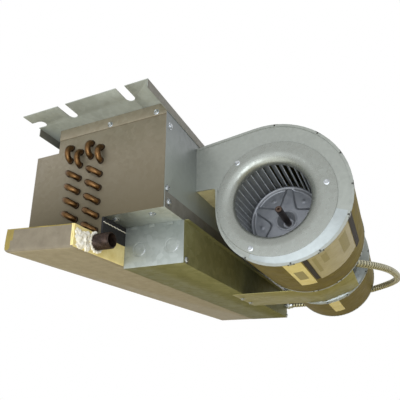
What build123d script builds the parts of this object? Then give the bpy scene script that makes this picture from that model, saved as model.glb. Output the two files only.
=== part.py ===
"""Ceiling-hung fan coil unit with an open chassis, two blowers on one motor shaft and a water coil.

Millimetres. +X runs along the unit, away from the end with the drain nipple. +Y is the discharge
side, the blowers are on the -Y side, and +Z is up. The origin is the centre of the hanger slot
pattern on the upper face of the top panel. Lengths named "from_rear" start at the casing's rear
face, and those named "drop" or "depth" go down from the underside of the top panel.
"""
from build123d import *
import math
import os

os.makedirs("parts", exist_ok=True)

# Sheet thicknesses
sheet = 1.2
blower_sheet = 1.0

# Casing
casing_length = 820.0
casing_depth = 222.0
casing_height = 186.0
end_flange = 18.0
rear_band_height = 28.0
bottom_panel_depth = 110.0

# Top panel and its hanger slots
hanger_overhang = 63.5
top_panel_depth = 252.8
top_flange_drop = 15.0
front_lip_overhang = 22.0
slot_width = 16.0
slot_depth = 38.0
slot_from_rear = 50.0
slot_spacing = 117.5
corner_slot_from_end = 30.5
corner_slot_depth = 23.0
cleat_height = 21.0

# Discharge collar
collar_reach = 50.0
collar_top_drop = 46.0
lower_front_from_rear = 209.0

# Water coil: staggered rows of tubes
tube_diameter = 9.52
tube_pitch = 25.4
row_pitch = 22.0
row_count = 4
tubes_per_row = 7
rear_row_from_rear = 125.0
high_row_top_drop = 43.5
bend_leg = 4.5
bend_sides = 6
bend_steps = 5
coil_pan_gap = 0.4
header_diameter = 22.2
header_wall = 1.2
header_sides = 12
header_gap = 26.0
stub_length = 42.0
stub_neck = 1.0
vent_size = 8.0
vent_sides = 6

# Drain pan
pan_height = 37.4
pan_top_drop = 219.6
pan_from_rear = 110.0
pan_depth = 114.5
pan_reach_front = 85.6
pan_reach_rear = 67.0
pan_far_reach = 11.0
foam_thickness = 9.0
pan_sheet = 1.0
nipple_diameter = 26.7
nipple_neck_diameter = 25.0
nipple_neck = 1.0
nipple_bore = 20.9
nipple_reach = 30.0
nipple_from_end = 14.0
nipple_rise = 12.8
gasket_thickness = 3.6

# Control box under the casing
box_from_end = 64.0
box_length = 745.0
box_rear_reach = 4.0
box_depth = 113.5
box_height = 73.4
box_lip = 8.0
capacitor_x = 40.0
capacitor_size = (52.0, 32.0, 56.0)
capacitor_corner = 9.0
terminal_x = -110.0
terminal_size = (80.0, 28.0, 22.0)

# Blowers
blower_from_end = 121.0
blower_width = 241.0
blower_pitch = 413.0
axis_from_rear = 136.0
axis_drop = 147.0
scroll_front_reach = 97.5
scroll_bottom_reach = 118.6
scroll_rear_reach = 131.7
scroll_top_reach = 136.6
scroll_centre_shift = 13.0
outlet_top_drop = 26.0
outlet_height = 86.0
cutoff_radius = 6.0
cutoff_rise = 29.0
inlet_radius = 66.0
inlet_flare = 13.0
inlet_sides = 36
ring_radius = 102.5
ring_shift = 6.0
ring_drop = 1.0
ring_seat_radius = 86.0

# Blower wheels
blade_count = 38
wheel_radius = 82.0
blade_inner_radius = 71.0
blade_sweep = 9.0
blade_bow = 2.4
blade_facets = 3
blade_thickness = 0.7
wheel_end_gap = 18.0
end_ring_width = 3.0
end_ring_margin = 1.0
disc_thickness = 1.2
disc_clearance = 0.7
hub_sides = 24
hub_flange_radius = 21.5
hub_flange_thickness = 2.0
hub_cup_radius = 17.5
hub_cup_floor_radius = 10.5
hub_cup_depth = 20.0
hub_cup_wall = 2.5
hub_barrel_end = 34.0

# Shaft and motor
shaft_diameter = 12.7
shaft_past_disc = 64.0
running_clearance = 0.05
motor_radius = 63.5
motor_sides = 32
boss_sides = 24
motor_shell_length = 84.0
end_bell_depth = 16.0
end_bell_hub_radius = 22.0
end_bell_rim = 4.0
bearing_boss_radius = 14.0
bearing_boss_length = 12.0
ring_mount_radius = 24.0
ring_mount_width = 9.0
yoke_thickness = 2.5
yoke_width = 40.0

# Motor cradle sheet between the blowers
cradle_sheet = 1.5
cradle_blower_gap = 2.0
cradle_lap = 20.0
cradle_bend_from_rear = 158.0
cradle_rise_one = 21.0
cradle_run_one = 60.0
cradle_rise_two = 13.0
cradle_run_two = 19.0

# Armoured conduit from the wiring box to the motor
conduit_diameter = 17.0
conduit_sides = 6
connector_sides = 8
connector_radius = 12.5
connector_length = 22.0

# Fasteners
screw_head_radius = 4.2
screw_head_height = 3.0
end_screw_drop = 15.0
end_screws_from_rear = (18.0, 110.0)
rear_screw_from_end = 14.0
rear_screw_drop = 38.0
low_screw_from_end = 10.0
low_screw_drop = 152.0
band_screw_rise = 12.0
ring_screw_circle = 93.0
ring_screw_turns = (53.5, 173.5, 293.5)
cradle_screw_spacing = 62.0
cradle_screw_lap = 13.0

# Datums worked out from the sizes above
near_x = -casing_length / 2
far_x = casing_length / 2
rear_y = -(slot_from_rear + slot_spacing / 2)
front_y = rear_y + casing_depth
under_z = -sheet
base_z = under_z - casing_height
axis_y = rear_y - axis_from_rear
axis_z = under_z - axis_drop
inside_length = casing_length - 2 * sheet
tube_radius = tube_diameter / 2


def write(piece, label):
    """Label a finished piece and write its file."""
    piece.part.label = label
    export_step(piece.part, f"parts/{label}.step")


def block(low, high, mode=Mode.ADD):
    """A box between two opposite corners, inside the current part."""
    size = [b - a for a, b in zip(low, high)]
    centre = [(a + b) / 2 for a, b in zip(low, high)]
    with Locations(tuple(centre)):
        Box(*size, mode=mode)


def hex_screws(places):
    """Hexagon-head sheet screws: each place is a point on the face and the outward direction."""
    with BuildPart() as screws:
        for point, outward in places:
            with BuildSketch(Plane(origin=point, z_dir=outward)):
                RegularPolygon(screw_head_radius, 6)
            extrude(amount=screw_head_height)
    return screws


# Top panel with rear flange, front lip and open hanger slots
with BuildPart() as top_panel:
    panel_low_y = rear_y - sheet
    panel_high_y = rear_y + top_panel_depth
    panel_end = far_x + hanger_overhang
    with BuildSketch(Plane.XY.offset(-sheet)):
        with Locations((0, (panel_low_y + panel_high_y) / 2)):
            Rectangle(2 * panel_end, panel_high_y - panel_low_y)
        with Locations(*[(sx * panel_end, sy * slot_spacing / 2) for sx in (-1, 1) for sy in (-1, 1)]):
            SlotOverall(2 * slot_depth, slot_width, mode=Mode.SUBTRACT)
        corner_x = panel_end - corner_slot_from_end
        with Locations((-corner_x, panel_high_y), (corner_x, panel_high_y)):
            SlotOverall(2 * corner_slot_depth, slot_width, rotation=90, mode=Mode.SUBTRACT)
    extrude(amount=sheet)
    flange_z = -sheet - top_flange_drop
    block((-panel_end, panel_low_y, flange_z), (panel_end, rear_y, -sheet))
    lip_end = far_x + front_lip_overhang
    block((-lip_end, panel_high_y - sheet, flange_z), (lip_end, panel_high_y, -sheet))
write(top_panel, "top_panel")

# End plates: casing end, collar side and coil tube sheet in one sheet
tongue_low_y = rear_y + rear_row_from_rear - row_pitch / 2
tongue_high_y = rear_y + lower_front_from_rear + sheet
pan_top_z = under_z - pan_top_drop
pan_low_z = pan_top_z - pan_height
pan_floor_z = pan_low_z + foam_thickness + pan_sheet
pan_tongue_y = rear_y + pan_from_rear + foam_thickness + 2 * pan_sheet
collar_front_y = front_y + collar_reach
collar_top_z = under_z - collar_top_drop
end_outline = [
    (rear_y, under_z - sheet),
    (front_y, under_z - sheet),
    (front_y, collar_top_z),
    (collar_front_y, collar_top_z),
    (collar_front_y, base_z),
    (tongue_high_y, base_z),
    (tongue_high_y, pan_floor_z),
    (pan_tongue_y, pan_floor_z),
    (pan_tongue_y, pan_top_z + coil_pan_gap),
    (tongue_low_y, pan_top_z + coil_pan_gap),
    (tongue_low_y, base_z),
    (rear_y, base_z),
]
for end_name, outer_x, inward in (("near", near_x, 1), ("far", far_x, -1)):
    with BuildPart() as end_plate:
        with BuildSketch(Plane.YZ.offset(outer_x)):
            with BuildLine():
                Polyline(*end_outline, close=True)
            make_face()
        extrude(amount=inward * sheet)
        low_x, high_x = sorted((outer_x, outer_x + inward * end_flange))
        block(
            (low_x, rear_y + sheet, base_z + sheet),
            (high_x, rear_y + 2 * sheet, under_z - 2 * sheet),
        )
        block(
            (low_x, rear_y + 2 * sheet, base_z + sheet),
            (high_x, rear_y + bottom_panel_depth - sheet, base_z + 2 * sheet),
        )
    write(end_plate, f"{end_name}_end_plate")

    # Cleat that laps the top of the end plate and carries the top panel
    with BuildPart() as cleat:
        low_x, high_x = sorted((outer_x - inward * sheet, outer_x))
        block((low_x, rear_y, under_z - cleat_height), (high_x, front_y, under_z))
        low_x, high_x = sorted((outer_x, outer_x + inward * end_flange))
        block((low_x, rear_y + sheet, under_z - sheet), (high_x, front_y - sheet, under_z))
    write(cleat, f"{end_name}_top_cleat")

# Rear panel with one rectangular opening for each blower outlet
near_blower_x = near_x + blower_from_end + blower_width / 2
far_blower_x = near_blower_x + blower_pitch
motor_x = (near_blower_x + far_blower_x) / 2
outlet_top_z = under_z - outlet_top_drop
outlet_low_z = outlet_top_z - outlet_height
with BuildPart() as rear_panel:
    with BuildSketch(Plane.XZ.offset(-rear_y)):
        with Locations((0, (base_z + sheet + under_z - sheet) / 2)):
            Rectangle(inside_length, casing_height - 2 * sheet)
        with Locations(*[(x, (outlet_top_z + outlet_low_z) / 2) for x in (near_blower_x, far_blower_x)]):
            Rectangle(
                blower_width - 2 * blower_sheet,
                outlet_height - 2 * blower_sheet,
                mode=Mode.SUBTRACT,
            )
    extrude(amount=-sheet)
write(rear_panel, "rear_panel")

# Bottom panel with a band that laps the rear panel
with BuildPart() as bottom_panel:
    with BuildSketch(Plane.YZ.offset(near_x + sheet)):
        with BuildLine():
            Polyline(
                (rear_y - sheet, base_z),
                (rear_y + bottom_panel_depth, base_z),
                (rear_y + bottom_panel_depth, base_z + sheet),
                (rear_y, base_z + sheet),
                (rear_y, base_z + rear_band_height),
                (rear_y - sheet, base_z + rear_band_height),
                close=True,
            )
        make_face()
    extrude(amount=inside_length)
write(bottom_panel, "bottom_panel")

# Front panel above the discharge, turned forward as the top of the collar
with BuildPart() as front_panel:
    with BuildSketch(Plane.YZ.offset(near_x + sheet)):
        with BuildLine():
            Polyline(
                (front_y - sheet, under_z - sheet),
                (front_y, under_z - sheet),
                (front_y, collar_top_z),
                (collar_front_y, collar_top_z),
                (collar_front_y, collar_top_z - sheet),
                (front_y - sheet, collar_top_z - sheet),
                close=True,
            )
        make_face()
    extrude(amount=inside_length)
write(front_panel, "front_panel")

# Floor of the collar, turned down in front of the coil
lower_front_y = rear_y + lower_front_from_rear
with BuildPart() as collar_floor:
    with BuildSketch(Plane.YZ.offset(near_x + sheet)):
        with BuildLine():
            Polyline(
                (lower_front_y, base_z + sheet),
                (collar_front_y, base_z + sheet),
                (collar_front_y, base_z),
                (lower_front_y + sheet, base_z),
                (lower_front_y + sheet, pan_floor_z),
                (lower_front_y, pan_floor_z),
                close=True,
            )
        make_face()
    extrude(amount=inside_length)
write(collar_floor, "collar_floor")

# Water coil. Row 0 is the rear row; odd rows sit half a pitch higher.
def tube_y(row):
    return rear_y + rear_row_from_rear + row * row_pitch


def tube_z(row, level):
    lowered = 0 if row % 2 else tube_pitch / 2
    return under_z - high_row_top_drop - lowered - level * tube_pitch


fin_low_z = pan_top_z + coil_pan_gap
fin_high_z = tube_z(1, 0) + tube_pitch / 2
with BuildPart() as fin_pack:
    block(
        (near_x + sheet, tube_y(0) - row_pitch / 2, fin_low_z),
        (far_x - sheet, tube_y(row_count - 1) + row_pitch / 2, fin_high_z),
    )
write(fin_pack, "coil_fin_pack")


def add_bends(pairs, plate_x, outward):
    """Return bends on the outer face of an end plate, one for each pair of (row, level)."""
    out = Vector(outward, 0, 0)
    for first, second in pairs:
        start = Vector(plate_x, tube_y(first[0]), tube_z(*first))
        finish = Vector(plate_x, tube_y(second[0]), tube_z(*second))
        middle = (start + finish) / 2 + out * bend_leg
        reach = (finish - start) / 2
        turn = [math.pi * step / bend_steps for step in range(bend_steps + 1)]
        arc = [middle - reach * math.cos(t) + out * reach.length * math.sin(t) for t in turn]
        with BuildLine(mode=Mode.PRIVATE) as path:
            Polyline(start, *arc, finish)
        with BuildSketch(Plane(start, x_dir=reach, z_dir=out), mode=Mode.PRIVATE) as section:
            RegularPolygon(tube_radius, bend_sides)
        sweep(section.sketch, path=path.line, transition=Transition.RIGHT)


near_pairs = [((row, 0), (row, 1)) for row in range(row_count)]
near_pairs += [((row, level), (row + 1, level)) for row in (0, 2) for level in range(2, tubes_per_row)]
far_pairs = [((1, level), (2, level)) for level in range(2, tubes_per_row)]
far_pairs += [((0, 1), (1, 1)), ((1, 0), (2, 0)), ((2, 1), (3, 1))]
with BuildPart() as return_bends:
    add_bends(near_pairs, near_x, -1)
    add_bends(far_pairs, far_x, 1)
write(return_bends, "coil_return_bends")

# Headers at the far end: a capped riser, a feeder to each circuit and an open stub on a neck
fed_levels = [0] + list(range(2, tubes_per_row))
header_x = far_x + header_gap + header_diameter / 2
riser_height = (tubes_per_row - 1) * tube_pitch + header_diameter
for header_name, row, stub_level in (("supply", 0, tubes_per_row - 1), ("return", row_count - 1, 0)):
    header_y = tube_y(row)
    stub_z = tube_z(row, stub_level)
    with BuildPart() as header:
        with BuildSketch(Plane.XY.offset(tube_z(row, tubes_per_row - 1) - header_diameter / 2)):
            with Locations((header_x, header_y)):
                RegularPolygon(header_diameter / 2, header_sides, major_radius=False)
        extrude(amount=riser_height)
        with BuildSketch(Plane.YZ.offset(far_x)):
            with Locations(*[(header_y, tube_z(row, level)) for level in fed_levels]):
                RegularPolygon(tube_radius, bend_sides)
        extrude(amount=header_gap)
        neck_end_x = header_x + header_diameter / 2 + stub_neck
        with BuildSketch(Plane.YZ.offset(header_x)):
            with Locations((header_y, stub_z)):
                Circle((header_diameter - header_wall) / 2)
        extrude(amount=neck_end_x - header_x)
        with BuildSketch(Plane.YZ.offset(neck_end_x)):
            with Locations((header_y, stub_z)):
                Circle(header_diameter / 2)
        extrude(amount=header_x + stub_length - neck_end_x)
        with BuildSketch(Plane.YZ.offset(header_x + header_diameter / 2)):
            with Locations((header_y, stub_z)):
                Circle(header_diameter / 2 - header_wall)
        extrude(amount=stub_length, mode=Mode.SUBTRACT)
    write(header, f"{header_name}_header")

# Air vent on top of the return header
return_y = tube_y(row_count - 1)
vent_z = tube_z(row_count - 1, 0) + header_diameter / 2
with BuildPart() as air_vent:
    for step_z, radius in ((vent_z, vent_size), (vent_z + vent_size, vent_size / 2)):
        with BuildSketch(Plane.XY.offset(step_z)):
            with Locations((header_x, return_y)):
                RegularPolygon(radius, vent_sides)
        extrude(amount=vent_size)
write(air_vent, "air_vent")

# Drain pan: steel tray in a foam jacket, its near end cut at a slant, with a brazed pipe nipple
pan_low_y = rear_y + pan_from_rear
pan_high_y = pan_low_y + pan_depth
pan_far_x = far_x + pan_far_reach


def pan_outline(inset):
    """The pan's plan outline, moved inwards by an inset."""
    slant = (pan_reach_front - pan_reach_rear) / pan_depth
    near_inset = inset * math.hypot(1, slant)
    rear_near_x = near_x - pan_reach_rear - slant * inset + near_inset
    front_near_x = near_x - pan_reach_front + slant * inset + near_inset
    return [
        (rear_near_x, pan_low_y + inset),
        (pan_far_x - inset, pan_low_y + inset),
        (pan_far_x - inset, pan_high_y - inset),
        (front_near_x, pan_high_y - inset),
    ]


nipple_x = near_x - nipple_from_end
nipple_z = pan_floor_z + nipple_rise + pan_sheet
nipple_end_y = pan_low_y - nipple_reach
nipple_start_y = pan_low_y + foam_thickness
nipple_plane = Plane.XZ.offset(-nipple_start_y)
with BuildPart() as pan_jacket:
    with BuildSketch(Plane.XY.offset(pan_low_z)):
        Polygon(*pan_outline(0), align=None)
    extrude(amount=pan_height)
    with BuildSketch(Plane.XY.offset(pan_low_z + foam_thickness)):
        Polygon(*pan_outline(foam_thickness), align=None)
    extrude(amount=pan_height, mode=Mode.SUBTRACT)
    with BuildSketch(nipple_plane):
        with Locations((nipple_x, nipple_z)):
            Circle(nipple_neck_diameter / 2)
    extrude(amount=2 * foam_thickness, mode=Mode.SUBTRACT)
write(pan_jacket, "pan_jacket")

with BuildPart() as pan_tray:
    with BuildSketch(Plane.XY.offset(pan_low_z + foam_thickness)):
        Polygon(*pan_outline(foam_thickness), align=None)
    extrude(amount=pan_height - foam_thickness)
    with BuildSketch(Plane.XY.offset(pan_floor_z)):
        Polygon(*pan_outline(foam_thickness + pan_sheet), align=None)
    extrude(amount=pan_height, mode=Mode.SUBTRACT)
    with BuildSketch(nipple_plane.offset(-2 * pan_sheet)):
        with Locations((nipple_x, nipple_z)):
            Circle(nipple_bore / 2)
    extrude(amount=4 * pan_sheet, mode=Mode.SUBTRACT)
    with BuildSketch(nipple_plane):
        with Locations((nipple_x, nipple_z)):
            Circle(nipple_neck_diameter / 2)
            Circle(nipple_bore / 2, mode=Mode.SUBTRACT)
    extrude(amount=foam_thickness + nipple_neck)
    with BuildSketch(nipple_plane.offset(foam_thickness + nipple_neck)):
        with Locations((nipple_x, nipple_z)):
            Circle(nipple_diameter / 2)
            Circle(nipple_bore / 2, mode=Mode.SUBTRACT)
    extrude(amount=nipple_reach - nipple_neck)
write(pan_tray, "pan_tray")

# Gasket between the pan's rear wall and the casing
with BuildPart() as pan_gasket:
    block(
        (near_x, pan_low_y, pan_top_z),
        (pan_far_x, pan_low_y + gasket_thickness, base_z),
    )
write(pan_gasket, "pan_gasket")

# Control box: trough with a lip under the casing, which closes it above, and a cover at each end
box_near_x = near_x + box_from_end
box_far_x = box_near_x + box_length
box_low_y = rear_y - box_rear_reach
box_high_y = box_low_y + box_depth
box_low_z = base_z - box_height
with BuildPart() as box_trough:
    block((box_near_x + sheet, box_low_y, box_low_z), (box_far_x - sheet, box_high_y, base_z))
    block(
        (box_near_x + sheet, box_low_y + sheet, box_low_z + sheet),
        (box_far_x - sheet, box_high_y - sheet, base_z),
        mode=Mode.SUBTRACT,
    )
    block(
        (box_near_x + sheet, box_low_y - box_lip, base_z - sheet),
        (box_far_x - sheet, box_low_y + sheet, base_z),
    )
write(box_trough, "control_box_trough")

for cover_name, outer_x, inward in (("near", box_near_x, 1), ("far", box_far_x, -1)):
    with BuildPart() as cover:
        low_x, high_x = sorted((outer_x, outer_x + inward * sheet))
        block((low_x, box_low_y, box_low_z), (high_x, box_high_y, base_z))
    write(cover, f"control_box_{cover_name}_cover")

# Run capacitor and terminal block on the floor of the control box
box_floor_z = box_low_z + sheet
box_mid_y = (box_low_y + box_high_y) / 2
with BuildPart() as run_capacitor:
    with BuildSketch(Plane.XY.offset(box_floor_z)) as capacitor_plan:
        with Locations((capacitor_x, box_mid_y)):
            Rectangle(*capacitor_size[:2])
        chamfer(capacitor_plan.vertices(), capacitor_corner)
    extrude(amount=capacitor_size[2])
write(run_capacitor, "run_capacitor")

with BuildPart() as terminal_block:
    with Locations((terminal_x, box_mid_y, box_floor_z + terminal_size[2] / 2)):
        Box(*terminal_size)
write(terminal_block, "terminal_block")


# Blower scroll outline in the YZ plane: three tangent arcs, a sloping outlet and the cut-off
def scroll_outline():
    front_radius = scroll_front_reach + scroll_centre_shift
    rear_radius = scroll_rear_reach - scroll_centre_shift
    arc_a = (axis_y - scroll_centre_shift, axis_z - scroll_bottom_reach + front_radius)
    arc_b = (arc_a[0], axis_z - scroll_bottom_reach + rear_radius)
    top_radius = axis_z + scroll_top_reach - arc_b[1]
    arc_c = (axis_y - scroll_rear_reach + top_radius, arc_b[1])
    outlet_top = (rear_y, outlet_top_z)
    across = outlet_top[0] - arc_c[0]
    rise = outlet_top[1] - arc_c[1]
    turn = math.atan2(across, rise) - math.acos(top_radius / math.hypot(across, rise))
    tangent = (arc_c[0] + top_radius * math.sin(turn), arc_c[1] + top_radius * math.cos(turn))
    front_point = (arc_a[0] + front_radius, arc_a[1])
    bottom_point = (arc_a[0], arc_a[1] - front_radius)
    rear_point = (arc_b[0] - rear_radius, arc_b[1])
    lip = (front_point[0], axis_z + cutoff_rise)
    half = math.radians(45)
    with BuildLine() as line:
        Line(outlet_top, tangent)
        middle = (turn - math.pi / 2) / 2
        ThreePointArc(
            tangent,
            (arc_c[0] + top_radius * math.sin(middle), arc_c[1] + top_radius * math.cos(middle)),
            rear_point,
        )
        ThreePointArc(
            rear_point,
            (arc_b[0] - rear_radius * math.cos(half), arc_b[1] - rear_radius * math.sin(half)),
            bottom_point,
        )
        ThreePointArc(
            bottom_point,
            (arc_a[0] + front_radius * math.sin(half), arc_a[1] - front_radius * math.cos(half)),
            front_point,
        )
        Line(front_point, lip)
        ThreePointArc(
            lip,
            (lip[0] + cutoff_radius * (1 - math.cos(half)), lip[1] + cutoff_radius * math.sin(half)),
            (lip[0] + cutoff_radius, lip[1] + cutoff_radius),
        )
        Line((lip[0] + cutoff_radius, lip[1] + cutoff_radius), (rear_y, outlet_low_z))
        Line((rear_y, outlet_low_z), outlet_top)
    return line


scroll_lines = scroll_outline()
cutoff_low_z = axis_z
cutoff_high_z = outlet_low_z + cutoff_radius


def cutoff_window(mode):
    """The region of the cross-section that belongs to the cut-off plate."""
    low_y = axis_y + scroll_front_reach - 2 * cutoff_radius
    with Locations(((low_y + rear_y) / 2, (cutoff_low_z + cutoff_high_z) / 2)):
        Rectangle(rear_y - low_y, cutoff_high_z - cutoff_low_z, mode=mode)


wrap_width = blower_width - 2 * blower_sheet
blower_centres = (near_blower_x, far_blower_x)


def wrap_section(centre_x, window_mode):
    """The scroll sheet's cross-section, without or with only the region of the cut-off."""
    with BuildSketch(Plane.YZ.offset(centre_x - wrap_width / 2), mode=Mode.PRIVATE) as section:
        with BuildLine():
            add(scroll_lines.line)
        make_face()
        offset(amount=-blower_sheet, kind=Kind.INTERSECTION, mode=Mode.SUBTRACT)
        with Locations((rear_y, (outlet_top_z + outlet_low_z) / 2)):
            Rectangle(4 * blower_sheet, outlet_height - 2 * blower_sheet, mode=Mode.SUBTRACT)
        cutoff_window(window_mode)
    return section.sketch


with BuildPart() as wraps:
    for centre_x in blower_centres:
        extrude(wrap_section(centre_x, Mode.SUBTRACT), amount=wrap_width)
write(wraps, "blower_wraps")

with BuildPart() as cutoffs:
    for centre_x in blower_centres:
        extrude(wrap_section(centre_x, Mode.INTERSECT), amount=wrap_width)
write(cutoffs, "blower_cutoffs")

with BuildPart() as side_plates:
    for centre_x in blower_centres:
        for plate_x in (centre_x - blower_width / 2, centre_x + blower_width / 2 - blower_sheet):
            with BuildSketch(Plane.YZ.offset(plate_x)):
                with BuildLine():
                    add(scroll_lines.line)
                make_face()
                with Locations((axis_y, axis_z)):
                    RegularPolygon(ring_seat_radius, inlet_sides, mode=Mode.SUBTRACT)
            extrude(amount=blower_sheet)
write(side_plates, "blower_side_plates")

# Inlet rings: a flat flange on each side plate, set off centre like the scroll, and a flared throat
flare_start = inlet_radius + inlet_flare
axle_centre = (axis_y, axis_z)


def add_frustum(low_x, low_radius, high_x, high_radius, sides, mode=Mode.ADD):
    """A many-sided frustum with flat faces about the blower axis, inside the current part."""
    turns = [2 * math.pi * step / sides for step in range(sides)]
    low, high = [
        [Vector(x, axis_y + radius * math.cos(turn), axis_z + radius * math.sin(turn)) for turn in turns]
        for x, radius in ((low_x, low_radius), (high_x, high_radius))
    ]
    flanks = [(low[i - 1], low[i], high[i], high[i - 1]) for i in range(sides)]
    faces = [Face(Wire.make_polygon(corners)) for corners in (low, high, *flanks)]
    add(Solid(Shell(faces)), mode=mode)


with BuildPart() as inlet_rings:
    for centre_x in blower_centres:
        for side in (-1, 1):
            plate_x = centre_x + side * blower_width / 2
            throat_x = plate_x - side * inlet_flare
            with BuildSketch(Plane.YZ.offset(plate_x)):
                with Locations((axis_y - ring_shift, axis_z - ring_drop)):
                    RegularPolygon(ring_radius, inlet_sides)
                with Locations(axle_centre):
                    RegularPolygon(flare_start, inlet_sides, mode=Mode.SUBTRACT)
            extrude(amount=side * blower_sheet)
            add_frustum(
                plate_x,
                flare_start + blower_sheet,
                throat_x,
                inlet_radius + blower_sheet,
                inlet_sides,
            )
            add_frustum(plate_x, flare_start, throat_x, inlet_radius, inlet_sides, Mode.SUBTRACT)
write(inlet_rings, "blower_inlet_rings")

# Blower wheels: forward-curved blades between two end rings, on a centre disc and a hub
sweep_angle = math.radians(blade_sweep)
root = Vector(blade_inner_radius, 0)
tip = Vector(wheel_radius * math.cos(sweep_angle), -wheel_radius * math.sin(sweep_angle))
chord = (tip - root).normalized()
backward = Vector(-chord.Y, chord.X)
thickness = backward * -blade_thickness
fractions = [step / blade_facets for step in range(blade_facets + 1)]
blade_front = [root + (tip - root) * t + backward * 4 * blade_bow * t * (1 - t) for t in fractions]
blade_back = [point + thickness for point in reversed(blade_front)]
wheel_half = blower_width / 2 - wheel_end_gap
blade_length = 2 * (wheel_half - end_ring_width)
with BuildSketch(Plane.XY) as blade_ring:
    with BuildSketch(mode=Mode.PRIVATE) as blade:
        with BuildLine():
            Polyline(*blade_front, *blade_back, close=True)
        make_face()
    with PolarLocations(0, blade_count):
        add(blade.sketch)

with BuildPart() as blades:
    for centre_x in blower_centres:
        blade_plane = Plane(
            origin=(centre_x - blade_length / 2, axis_y, axis_z),
            x_dir=(0, 1, 0),
            z_dir=(1, 0, 0),
        )
        with BuildSketch(blade_plane):
            add(blade_ring.sketch)
        extrude(amount=blade_length)
write(blades, "wheel_blades")

with BuildPart() as end_rings:
    for centre_x in blower_centres:
        for ring_x in (centre_x - wheel_half, centre_x + wheel_half - end_ring_width):
            with BuildSketch(Plane.YZ.offset(ring_x)):
                with Locations(axle_centre):
                    RegularPolygon(wheel_radius + end_ring_margin, blade_count)
                    RegularPolygon(blade_inner_radius - end_ring_margin, blade_count, mode=Mode.SUBTRACT)
            extrude(amount=end_ring_width)
write(end_rings, "wheel_end_rings")

with BuildPart() as discs:
    for centre_x in blower_centres:
        with BuildSketch(Plane.YZ.offset(centre_x - disc_thickness / 2)):
            with Locations(axle_centre):
                RegularPolygon(blade_inner_radius - disc_clearance, blade_count)
                RegularPolygon(hub_cup_radius, hub_sides, mode=Mode.SUBTRACT)
        extrude(amount=disc_thickness)
write(discs, "wheel_discs")

# Hubs: a flange on the disc and a cup that dips towards the motor, with the barrel at its floor
with BuildPart() as hubs:
    for centre_x in blower_centres:
        inward = 1 if centre_x < motor_x else -1
        seat_x = centre_x + inward * disc_thickness / 2
        floor_x = centre_x + inward * hub_cup_depth
        with BuildSketch(Plane.YZ.offset(seat_x)):
            with Locations(axle_centre):
                RegularPolygon(hub_flange_radius, hub_sides)
        extrude(amount=inward * hub_flange_thickness)
        barrel_radius = hub_cup_floor_radius + hub_cup_wall
        add_frustum(seat_x, hub_cup_radius + hub_cup_wall, floor_x, barrel_radius, hub_sides)
        with BuildSketch(Plane.YZ.offset(floor_x)):
            with Locations(axle_centre):
                RegularPolygon(barrel_radius, hub_sides)
        extrude(amount=inward * (hub_barrel_end - hub_cup_depth))
        add_frustum(seat_x, hub_cup_radius, floor_x, hub_cup_floor_radius, hub_sides, Mode.SUBTRACT)
        with BuildSketch(Plane.YZ.offset(floor_x)):
            with Locations(axle_centre):
                Circle(shaft_diameter / 2)
        extrude(amount=inward * (hub_barrel_end - hub_cup_depth), mode=Mode.SUBTRACT)
write(hubs, "wheel_hubs")

# Motor shaft through both hubs, past each disc on its inlet side
shaft_length = blower_pitch + 2 * shaft_past_disc
with BuildPart() as shaft:
    with BuildSketch(Plane.YZ.offset(motor_x - shaft_length / 2)):
        with Locations(axle_centre):
            Circle(shaft_diameter / 2)
    extrude(amount=shaft_length)
write(shaft, "motor_shaft")

# Motor: shell, an end bell with a bearing boss at each end
shell_end = motor_shell_length / 2
bore_radius = shaft_diameter / 2 + running_clearance
with BuildPart() as motor_shell:
    with BuildSketch(Plane.YZ.offset(motor_x - shell_end)):
        with Locations(axle_centre):
            RegularPolygon(motor_radius, motor_sides)
            Circle(bore_radius, mode=Mode.SUBTRACT)
    extrude(amount=motor_shell_length)
write(motor_shell, "motor_shell")

with BuildPart() as end_bells:
    for side in (-1, 1):
        bell_x = motor_x + side * shell_end
        cone_x = bell_x + side * end_bell_rim
        boss_x = bell_x + side * end_bell_depth
        with BuildSketch(Plane.YZ.offset(bell_x)):
            with Locations(axle_centre):
                RegularPolygon(motor_radius, motor_sides)
        extrude(amount=side * end_bell_rim)
        add_frustum(cone_x, motor_radius, boss_x, end_bell_hub_radius, motor_sides)
        with BuildSketch(Plane.YZ.offset(boss_x)):
            with Locations(axle_centre):
                RegularPolygon(bearing_boss_radius, boss_sides)
        extrude(amount=side * bearing_boss_length)
        with BuildSketch(Plane.YZ.offset(bell_x)):
            with Locations(axle_centre):
                Circle(bore_radius)
        extrude(amount=side * (end_bell_depth + bearing_boss_length), mode=Mode.SUBTRACT)
write(end_bells, "motor_end_bells")

# Rubber ring mounts pressed on the bearing bosses
ring_start = shell_end + end_bell_depth + (bearing_boss_length - ring_mount_width) / 2
with BuildPart() as rubber_rings:
    for side in (-1, 1):
        with BuildSketch(Plane.YZ.offset(motor_x + side * ring_start)):
            with Locations(axle_centre):
                RegularPolygon(ring_mount_radius, boss_sides)
                RegularPolygon(bearing_boss_radius, boss_sides, mode=Mode.SUBTRACT)
        extrude(amount=side * ring_mount_width)
write(rubber_rings, "motor_rubber_rings")

# Cradle sheet: lapped under the control box, level under the motor and turned up behind it
cradle_top_z = box_low_z
cradle_half = (blower_pitch - blower_width) / 2 - blower_sheet - cradle_blower_gap
bend_y = rear_y - cradle_bend_from_rear
cradle_points = [
    (rear_y + cradle_lap, cradle_top_z),
    (bend_y, cradle_top_z),
    (bend_y - cradle_run_one, cradle_top_z + cradle_rise_one),
    (bend_y - cradle_run_one - cradle_run_two, cradle_top_z + cradle_rise_one + cradle_rise_two),
]
with BuildPart() as cradle:
    with BuildSketch(Plane.YZ.offset(motor_x - cradle_half)):
        with BuildLine():
            Polyline(*cradle_points)
            offset(amount=cradle_sheet, side=Side.LEFT)
        make_face()
    extrude(amount=2 * cradle_half)
write(cradle, "motor_cradle")

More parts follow.
